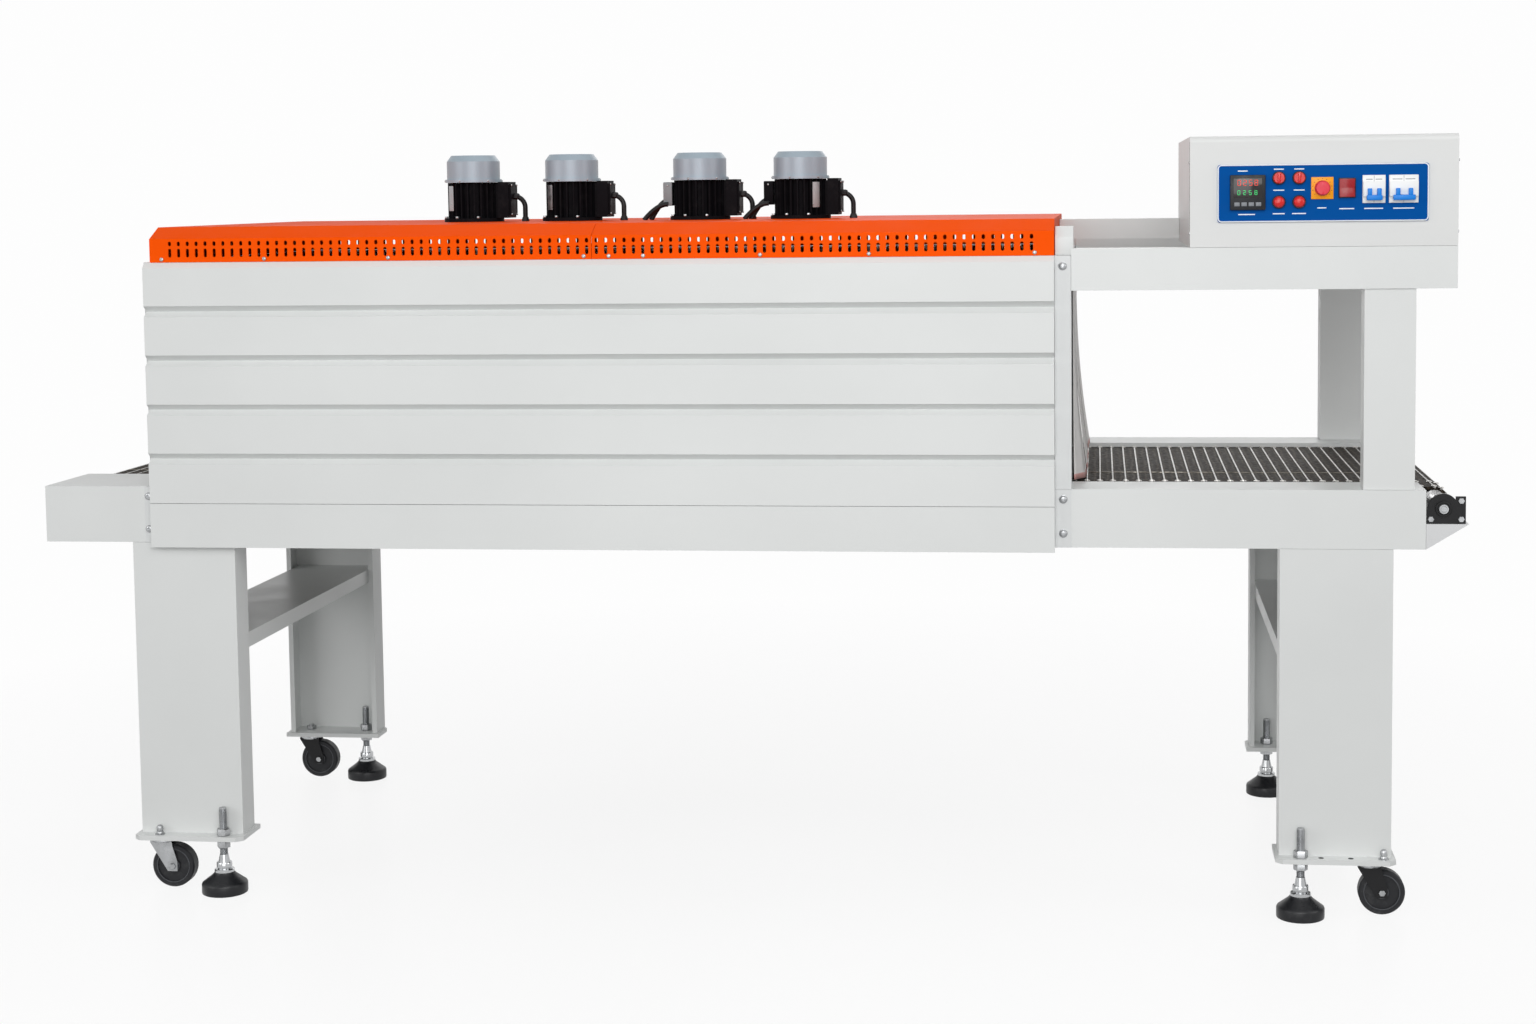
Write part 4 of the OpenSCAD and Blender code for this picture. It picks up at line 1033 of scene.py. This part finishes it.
@dataclass
class ControlStation:
    """Control box with its panel, over the outfeed end."""

    left: float = 2301.0
    bottom: float = 1452.0
    length: float = 425.0
    height: float = 118.0
    face: float = 14.5

    def build(self) -> None:
        """Dresses the box and builds the panel's devices."""
        dress(Finish.LIGHT_PAINT, "upper_beam_front", "upper_beam_back", "post_front", "post_back", "cable_trunk")
        dress(Finish.BOX_PAINT, "control_box")
        dress(Finish.PANEL_BLUE, "control_panel")
        self.border()
        self.devices()
        self.seams()

    def spot(self, x: float, out: float, z: float) -> Vector:
        """Gives a point that stands out from the panel's face.

        Args:
            x: place along the machine.
            out: distance in front of the panel.
            z: height above the floor.

        Returns:
            The point in the row frame.
        """
        return at(x, self.face - out, z)

    def slab(self, piece: Piece, x: float, z: float, width: float, height: float, depth: float, base: float = 0.0, bevel: float = 1.0) -> None:
        """Adds a rounded block on the panel.

        Args:
            piece: the piece that takes it.
            x: its left edge.
            z: its lower edge.
            width: its width.
            height: its height.
            depth: how far it stands out from its base.
            base: distance of its base from the panel.
            bevel: rounding of its edges.
        """
        piece.block(self.spot(x, base + depth, z), self.spot(x + width, base, z + height), bevel * MM)

    def border(self) -> None:
        """Adds the thin pale line round the panel."""
        piece = Piece("panel_border", Finish.PANEL_WHITE)
        corner, line, steps = 7.0, 1.3, 6
        x0, x1 = self.left + line, self.left + self.length - line
        z0, z1 = self.bottom + line, self.bottom + self.height - line
        points = []
        for cx, cz, first in ((x1 - corner, z1 - corner, 0), (x0 + corner, z1 - corner, 90), (x0 + corner, z0 + corner, 180), (x1 - corner, z0 + corner, 270)):
            for k in range(steps + 1):
                angle = math.radians(first + 90 * k / steps)
                points.append(self.spot(cx + corner * math.cos(angle), 0.1, cz + corner * math.sin(angle)))
        piece.tube(points, line * MM, 6, True)
        dashes = ((2352.0, 1557.0, 20.0), (2360.0, 1468.0, 34.0), (2425.0, 1560.0, 20.0), (2466.0, 1560.0, 20.0), (2425.0, 1517.0, 22.0), (2466.0, 1517.0, 22.0),
                  (2425.0, 1469.0, 24.0), (2466.0, 1469.0, 28.0), (2512.0, 1480.0, 18.0), (2562.0, 1478.0, 30.0), (2616.0, 1478.0, 38.0), (2676.0, 1478.0, 42.0))
        for x, z, width in dashes:
            self.slab(piece, x - width / 2, z - 1.1, width, 2.2, 0.25, 0.0, 0.1)
        piece.build(ROOT, "blue_panel")

    def devices(self) -> None:
        """Adds controller, lamps, knob, rocker and breakers, in place of the plain solids."""
        piece = Piece("panel_controls", Finish.DEVICE_BLACK)
        self.controller(piece)
        for x in (2425.0, 2466.0):
            for z in (1493.0, 1542.0):
                self.lamp(piece, x, z, z > 1500)
        self.knob(piece)
        self.rocker(piece)
        self.breaker(piece, 2593.0, 46.0, 2)
        self.breaker(piece, 2646.0, 59.0, 2)
        made = piece.build(ROOT, "switch_plastic")
        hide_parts("panel_devices")

    def controller(self, piece: Piece) -> None:
        """Adds the square temperature controller."""
        x, z, size = 2326.0, 1477.0, 72.0
        self.slab(piece.use(Finish.DEVICE_BLACK), x, z, size, size, 8.0, 0.0, 2.0)
        self.slab(piece.use(Finish.DISPLAY), x + 7, z + 25, size - 14, size - 32, 0.8, 7.6, 0.3)
        for row, finish, scale in ((52.0, Finish.DIGIT_RED, 1.0), (33.0, Finish.DIGIT_GREEN, 0.8)):
            piece.use(finish)
            for k in range(4):
                self.digit(piece, x + 15 + k * 11.5, z + row - 2, 7.0 * scale, 12.0 * scale, (0, 2, 5, 8)[k])
        piece.use(Finish.DEVICE_GREY)
        for k in range(4):
            self.slab(piece, x + 8.5 + k * 14.5, z + 8, 11.0, 8.0, 1.4, 7.8, 0.8)

    def digit(self, piece: Piece, x: float, z: float, width: float, height: float, number: int) -> None:
        """Adds one seven-segment digit.

        Args:
            piece: the piece that takes it.
            x: its left edge.
            z: its lower edge.
            width: its width.
            height: its height.
            number: the digit shown.
        """
        lit = {0: "abcdef", 2: "abged", 5: "afgcd", 8: "abcdefg"}[number]
        t, half = 1.2, height / 2
        bars = {"a": (t / 2, height - t, width - t, t), "g": (t / 2, half - t / 2, width - t, t), "d": (t / 2, 0, width - t, t),
                "f": (0, half, t, half - t / 2), "b": (width - t, half, t, half - t / 2), "e": (0, t / 2, t, half - t / 2), "c": (width - t, t / 2, t, half - t / 2)}
        for key in lit:
            dx, dz, w, h = bars[key]
            self.slab(piece, x + dx, z + dz, w, h, 0.3, 8.35, 0.05)

    def lamp(self, piece: Piece, x: float, z: float, selector: bool) -> None:
        """Adds a round red lamp or selector in a black ring.

        Args:
            piece: the piece that takes it.
            x: its middle along the machine.
            z: its middle's height.
            selector: True for a selector with a bar across it.
        """
        base = self.spot(x, 0.0, z)
        piece.use(Finish.DEVICE_BLACK).lathe(base, FRONT, [(0.014, 0.0), (0.014, 0.003), (0.0132, 0.004), (0.0118, 0.004), (0.0118, 0.003), (0.0, 0.003)], 32)
        if selector:
            piece.use(Finish.LAMP_RED).lathe(base, FRONT, [(0.0116, 0.0025), (0.0116, 0.0085), (0.0105, 0.0098), (0.0, 0.0098)], 32)
            self.slab(piece, x - 3.0, z - 11.0, 6.0, 22.0, 6.0, 9.5, 1.6)
        else:
            piece.use(Finish.LAMP_RED).lathe(base, FRONT, [(0.0116, 0.0025), (0.0116, 0.007), (0.0105, 0.0105), (0.0075, 0.0128), (0.0035, 0.0139), (0.0, 0.0141)], 32)

    def knob(self, piece: Piece) -> None:
        """Adds the rotary knob on its square plate, with ticks round it."""
        x, z = 2512.5, 1520.5
        self.slab(piece.use(Finish.KNOB_YELLOW), x - 22.5, z - 22.5, 45.0, 45.0, 2.6, 0.0, 0.8)
        base = self.spot(x, 2.4, z)
        piece.use(Finish.KNOB_RED).lathe(base, FRONT, [(0.0158, 0.0), (0.0158, 0.004), (0.0150, 0.006), (0.0142, 0.016), (0.0130, 0.0182), (0.0, 0.0186)], 36)
        self.slab(piece, x - 2.6, z - 13.0, 5.2, 26.0, 1.8, 19.0, 0.8)
        piece.use(Finish.DEVICE_BLACK)
        for k in range(11):
            angle = math.radians(-130 + 26 * k)
            centre = self.spot(x + 19.5 * math.sin(angle), 2.6, z + 19.5 * math.cos(angle))
            piece.lathe(centre, FRONT, [(0.0009, -0.0004), (0.0009, 0.0003), (0.0, 0.0003)], 6)

    def rocker(self, piece: Piece) -> None:
        """Adds the dark red rocker switch in its bezel."""
        x, z = 2545.0, 1500.0
        self.slab(piece.use(Finish.DEVICE_BLACK), x, z, 35.0, 41.0, 3.0, 0.0, 1.2)
        piece.use(Finish.ROCKER_RED).extrude([(2.0, 2.5), (39.0, 2.5), (39.0, 6.6), (20.5, 4.0), (2.0, 8.0)], lambda u, v, d: self.spot(x + d, v, z + u), 2.0, 33.0, 0.0008)

    def breaker(self, piece: Piece, x: float, width: float, poles: int) -> None:
        """Adds a white breaker with blue toggles joined by a bar.

        Args:
            piece: the piece that takes it.
            x: its left edge.
            width: its width.
            poles: number of toggles.
        """
        z = 1489.0
        self.slab(piece.use(Finish.DEVICE_WHITE), x, z, width, 57.0, 5.0, 0.0, 1.0)
        self.slab(piece, x + 0.6, z + 13.0, width - 1.2, 31.0, 7.0, 4.5, 1.2)
        pitch = (width - 8) / poles
        for k in range(poles):
            left = x + 4 + k * pitch
            self.slab(piece.use(Finish.DEVICE_GREY), left + 3.0, z + 47.5, pitch - 6.0, 1.6, 0.3, 4.9, 0.1)
            self.slab(piece.use(Finish.TOGGLE_BLUE), left + pitch / 2 - 4.4, z + 15.0, 8.8, 15.0, 9.0, 11.0, 1.6)
            if k:
                self.slab(piece.use(Finish.DEVICE_GREY), left - 0.4, z + 1.0, 0.8, 55.0, 0.4, 4.8, 0.1)
        self.slab(piece.use(Finish.TOGGLE_BLUE), x + 7.0, z + 5.5, width - 14.0, 11.0, 9.0, 11.0, 2.4)

    def seams(self) -> None:
        """Adds the front cover's seam and the small hinge marks on the box."""
        piece = Piece("control_box_seams", Finish.DARK_GAP)
        piece.block(at(2244.6, 32.0, 1402.0), at(2245.4, 33.0, 1618.0))
        piece.use(Finish.ZINC)
        for z in (1430.0, 1575.0):
            piece.lathe(at(2245.0, 25.0, z), LEFT, [(r * MM, h * MM) for r, h in screw_profile(3.6, 2.4)], 12)
            piece.lathe(at(2786.0, 25.0, z), RIGHT, [(r * MM, h * MM) for r, h in screw_profile(3.6, 2.4)], 12)
        piece.build(ROOT, "light_grey_paint")


@dataclass
class StripCurtain:
    """Curtain of hanging cloth strips at one end of the tunnel."""

    name: str
    start: float
    side: float
    seed: int
    top: float = 1343.0
    bottom: float = 901.0
    near: float = 161.0
    far: float = 958.0
    strips: int = 16
    flare: float = 40.0
    rows: int = 38
    columns: int = 4
    edge_flares: tuple[tuple[float, float], ...] = ((0.1, 0.8), (0.5, 0.9))

    def swing(self, share: float, extra: float) -> float:
        """Gives how far a strip stands out.

        Args:
            share: 0 at its top and 1 at its hem.
            extra: this strip's own share of the flare.

        Returns:
            Distance from the end frame, in millimetres.
        """
        return 2.4 + self.flare * extra * max(0.0, share - 0.12) ** 1.9

    def build(self) -> None:
        draw = random.Random(self.seed)
        data = bpy.data.meshes.new(self.name)
        mesh = bmesh.new()
        width = (self.far - self.near) / self.strips
        total = 0.0
        for index in range(self.strips):
            jitter, twist = draw.uniform(-0.1, 0.04), draw.uniform(-3.0, 3.0)
            near_extra, far_extra = self.edge_flares[index] if index < len(self.edge_flares) else (0.95 + jitter, 0.95 + jitter)
            lean, curl = draw.uniform(-2.0, 2.0), draw.uniform(-2.4, 2.4)
            left = self.near + index * width + 0.8
            right = left + width - 1.6
            grid = []
            for row in range(self.rows + 1):
                share = row / self.rows
                z = self.top - (self.top - self.bottom) * share
                line = []
                for column in range(self.columns + 1):
                    across = column / self.columns
                    y = left + (right - left) * across + lean * share ** 2
                    bow = curl * (1 - (2 * across - 1) ** 2) * share
                    extra = near_extra + (far_extra - near_extra) * across
                    ripple = 0.8 * math.sin(5.0 * share + index) * share
                    x = self.start + self.side * (self.swing(share, extra) + max(bow, -2.0) * 0.6 + ripple + twist * across * share ** 3)
                    line.append(mesh.verts.new(at(x, min(max(y, self.near), self.far), z)))
                grid.append(line)
            for upper, lower in zip(grid, grid[1:]):
                for k in range(self.columns):
                    face = mesh.faces.new((upper[k], upper[k + 1], lower[k + 1], lower[k]))
                    face.smooth = True
                    face.material_index = 1 if lower is grid[-1] else 0
                    total += face.calc_area()
        mesh.to_mesh(data)
        mesh.free()
        for finish in (Finish.CURTAIN, Finish.HEM):
            data.materials.append(finish.material())
        obj = bpy.data.objects.new(self.name, data)
        bpy.context.scene.collection.objects.link(obj)
        solid = obj.modifiers.new("cloth", "SOLIDIFY")
        solid.thickness = 0.0012
        solid.offset = 0.0
        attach(obj, ROOT)
        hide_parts("curtain_left" if self.side < 0 else "curtain_right")
        LOG.info("hung %s, %.3f square metres of cloth", self.name, total)


# ---------------------------------------------------------------- studio


@dataclass
class Studio:
    """Pale floor, soft lamps and the camera."""

    focal_px: float = 2450.0
    frame_px: float = 1536.0
    centre_px: tuple[float, float] = (40.0, -120.0)
    place: Point = (2060.24, -5104.49, 1526.58)
    yaw: float = 0.119
    pitch: float = 0.0819
    roll: float = -0.0113
    floor_clear: float = 0.4
    floor_gone: float = 3.4
    floor_thin: float = 0.84

    def build(self) -> None:
        """Sets the world, the floor, the lamps and the camera."""
        bpy.context.scene.view_settings.view_transform = "Standard"
        self.camera()
        self.world()
        self.floor()
        self.lamp("key_light", (1.4, -4.8, 3.7), (0.0, 0.0, 0.5), 3.4, 99.0)
        self.lamp("front_light", (0.0, -5.4, 2.0), (0.0, 0.0, 0.4), 3.6, 99.0)
        self.lamp("fill_light", (-4.6, -3.4, 2.4), (-0.4, 0.0, 0.3), 3.2, 64.0)
        self.lamp("top_light", (0.2, 0.6, 5.2), (0.0, 0.0, 0.0), 4.0, 29.0)
        self.lamp("back_light", (0.6, 5.0, 3.4), (0.0, 0.0, 0.8), 3.2, 30.0)
        self.lamp("side_light", (5.2, -1.6, 2.4), (0.6, 0.0, 1.0), 2.4, 45.0)

    def camera(self) -> None:
        """Sets the camera where the photograph was taken."""
        data = bpy.data.cameras.new("camera")
        data.sensor_width = 36.0
        data.lens = self.focal_px / self.frame_px * 36.0
        data.shift_x = -self.centre_px[0] / self.frame_px
        data.shift_y = self.centre_px[1] / self.frame_px
        data.clip_end = 200.0
        cos_yaw, sin_yaw = math.cos(self.yaw), math.sin(self.yaw)
        cos_pitch, sin_pitch = math.cos(self.pitch), math.sin(self.pitch)
        ahead = Vector((-sin_yaw * cos_pitch, cos_yaw * cos_pitch, -sin_pitch))
        flat_right = Vector((cos_yaw, sin_yaw, 0.0))
        flat_up = flat_right.cross(ahead)
        cos_roll, sin_roll = math.cos(self.roll), math.sin(self.roll)
        right = flat_right * cos_roll + flat_up * sin_roll
        up = -flat_right * sin_roll + flat_up * cos_roll
        turn = Matrix((right, up, -ahead)).transposed().to_4x4()
        camera = bpy.data.objects.new("camera", data)
        camera.matrix_world = Matrix.Translation(at(*self.place)) @ turn
        bpy.context.scene.collection.objects.link(camera)
        bpy.context.scene.camera = camera

    def world(self) -> None:
        """Sets a soft even sky that shows nearly white behind the machine."""
        world = bpy.data.worlds.new("studio")
        world.use_nodes = True
        tree = world.node_tree
        back = tree.nodes["Background"]
        back.inputs["Color"].default_value = (1.0, 1.0, 1.0, 1.0)
        rays = tree.nodes.new("ShaderNodeLightPath")
        most = tree.nodes.new("ShaderNodeMath")
        most.operation = "MAXIMUM"
        tree.links.new(rays.outputs["Is Camera Ray"], most.inputs[0])
        tree.links.new(rays.outputs["Is Glossy Ray"], most.inputs[1])
        strength = tree.nodes.new("ShaderNodeMapRange")
        strength.inputs["To Min"].default_value = 0.2
        strength.inputs["To Max"].default_value = 0.985
        tree.links.new(most.outputs[0], strength.inputs["Value"])
        tree.links.new(strength.outputs["Result"], back.inputs["Strength"])
        bpy.context.scene.world = world

    def floor(self) -> None:
        """Lays a wide pale floor."""
        data = bpy.data.meshes.new("floor")
        mesh = bmesh.new()
        bmesh.ops.create_grid(mesh, x_segments=1, y_segments=1, size=30.0)
        mesh.to_mesh(data)
        mesh.free()
        floor = bpy.data.objects.new("floor", data)
        floor.location = (0.0, 0.0, -0.0004)
        bpy.context.scene.collection.objects.link(floor)
        sheet = NodeSheet("floor")
        mottle = sheet.span(sheet.noise(1.2, 3.0), 0.0, 1.0)
        sheet.join(sheet.blend(mottle, (0.96, 0.96, 0.96), (0.98, 0.98, 0.98)), sheet.shader.inputs["Base Color"])
        sheet.set(Roughness=0.3, Specular_IOR_Level=0.3)
        distance = sheet.add("ShaderNodeVectorMath", operation="LENGTH")
        sheet.join(sheet.coordinates(), distance.inputs[0])
        far = sheet.span(distance.outputs["Value"], self.floor_thin, 1.0, self.floor_clear, self.floor_gone)
        clear = sheet.add("ShaderNodeBsdfTransparent")
        mix = sheet.add("ShaderNodeMixShader")
        sheet.join(far, mix.inputs[0])
        sheet.join(sheet.shader.outputs[0], mix.inputs[1])
        sheet.join(clear.outputs[0], mix.inputs[2])
        sheet.join(mix.outputs[0], sheet.tree.nodes["Material Output"].inputs["Surface"])
        data.materials.append(sheet.material)

    def lamp(self, name: str, place: Point, target: Point, size: float, power: float) -> None:
        """Adds a soft square lamp.

        Args:
            name: the lamp's name.
            place: where it stands.
            target: the point it faces.
            size: its side in metres.
            power: its power in watts.
        """
        data = bpy.data.lights.new(name, "AREA")
        data.shape = "SQUARE"
        data.size = size
        data.energy = power
        lamp = bpy.data.objects.new(name, data)
        lamp.location = place
        lamp.rotation_euler = (Vector(target) - Vector(place)).to_track_quat("-Z", "Y").to_euler()
        bpy.context.scene.collection.objects.link(lamp)


def main() -> None:
    """Builds the machine's sub-assemblies in order and sets the studio."""
    logging.basicConfig(level=logging.INFO, format="%(name)s: %(message)s")
    Studio().build()
    for assembly in (
        Housing(),
        Cover(),
        Blowers(),
        Conveyor(),
        Stand(),
        ControlStation(),
        StripCurtain("curtain_strips_left", -17.0, -1.0, 11),
        StripCurtain("curtain_strips_right", TUNNEL_LENGTH + 34.5, 1.0, 23),
    ):
        assembly.build()


if __name__ == "__main__":
    main()
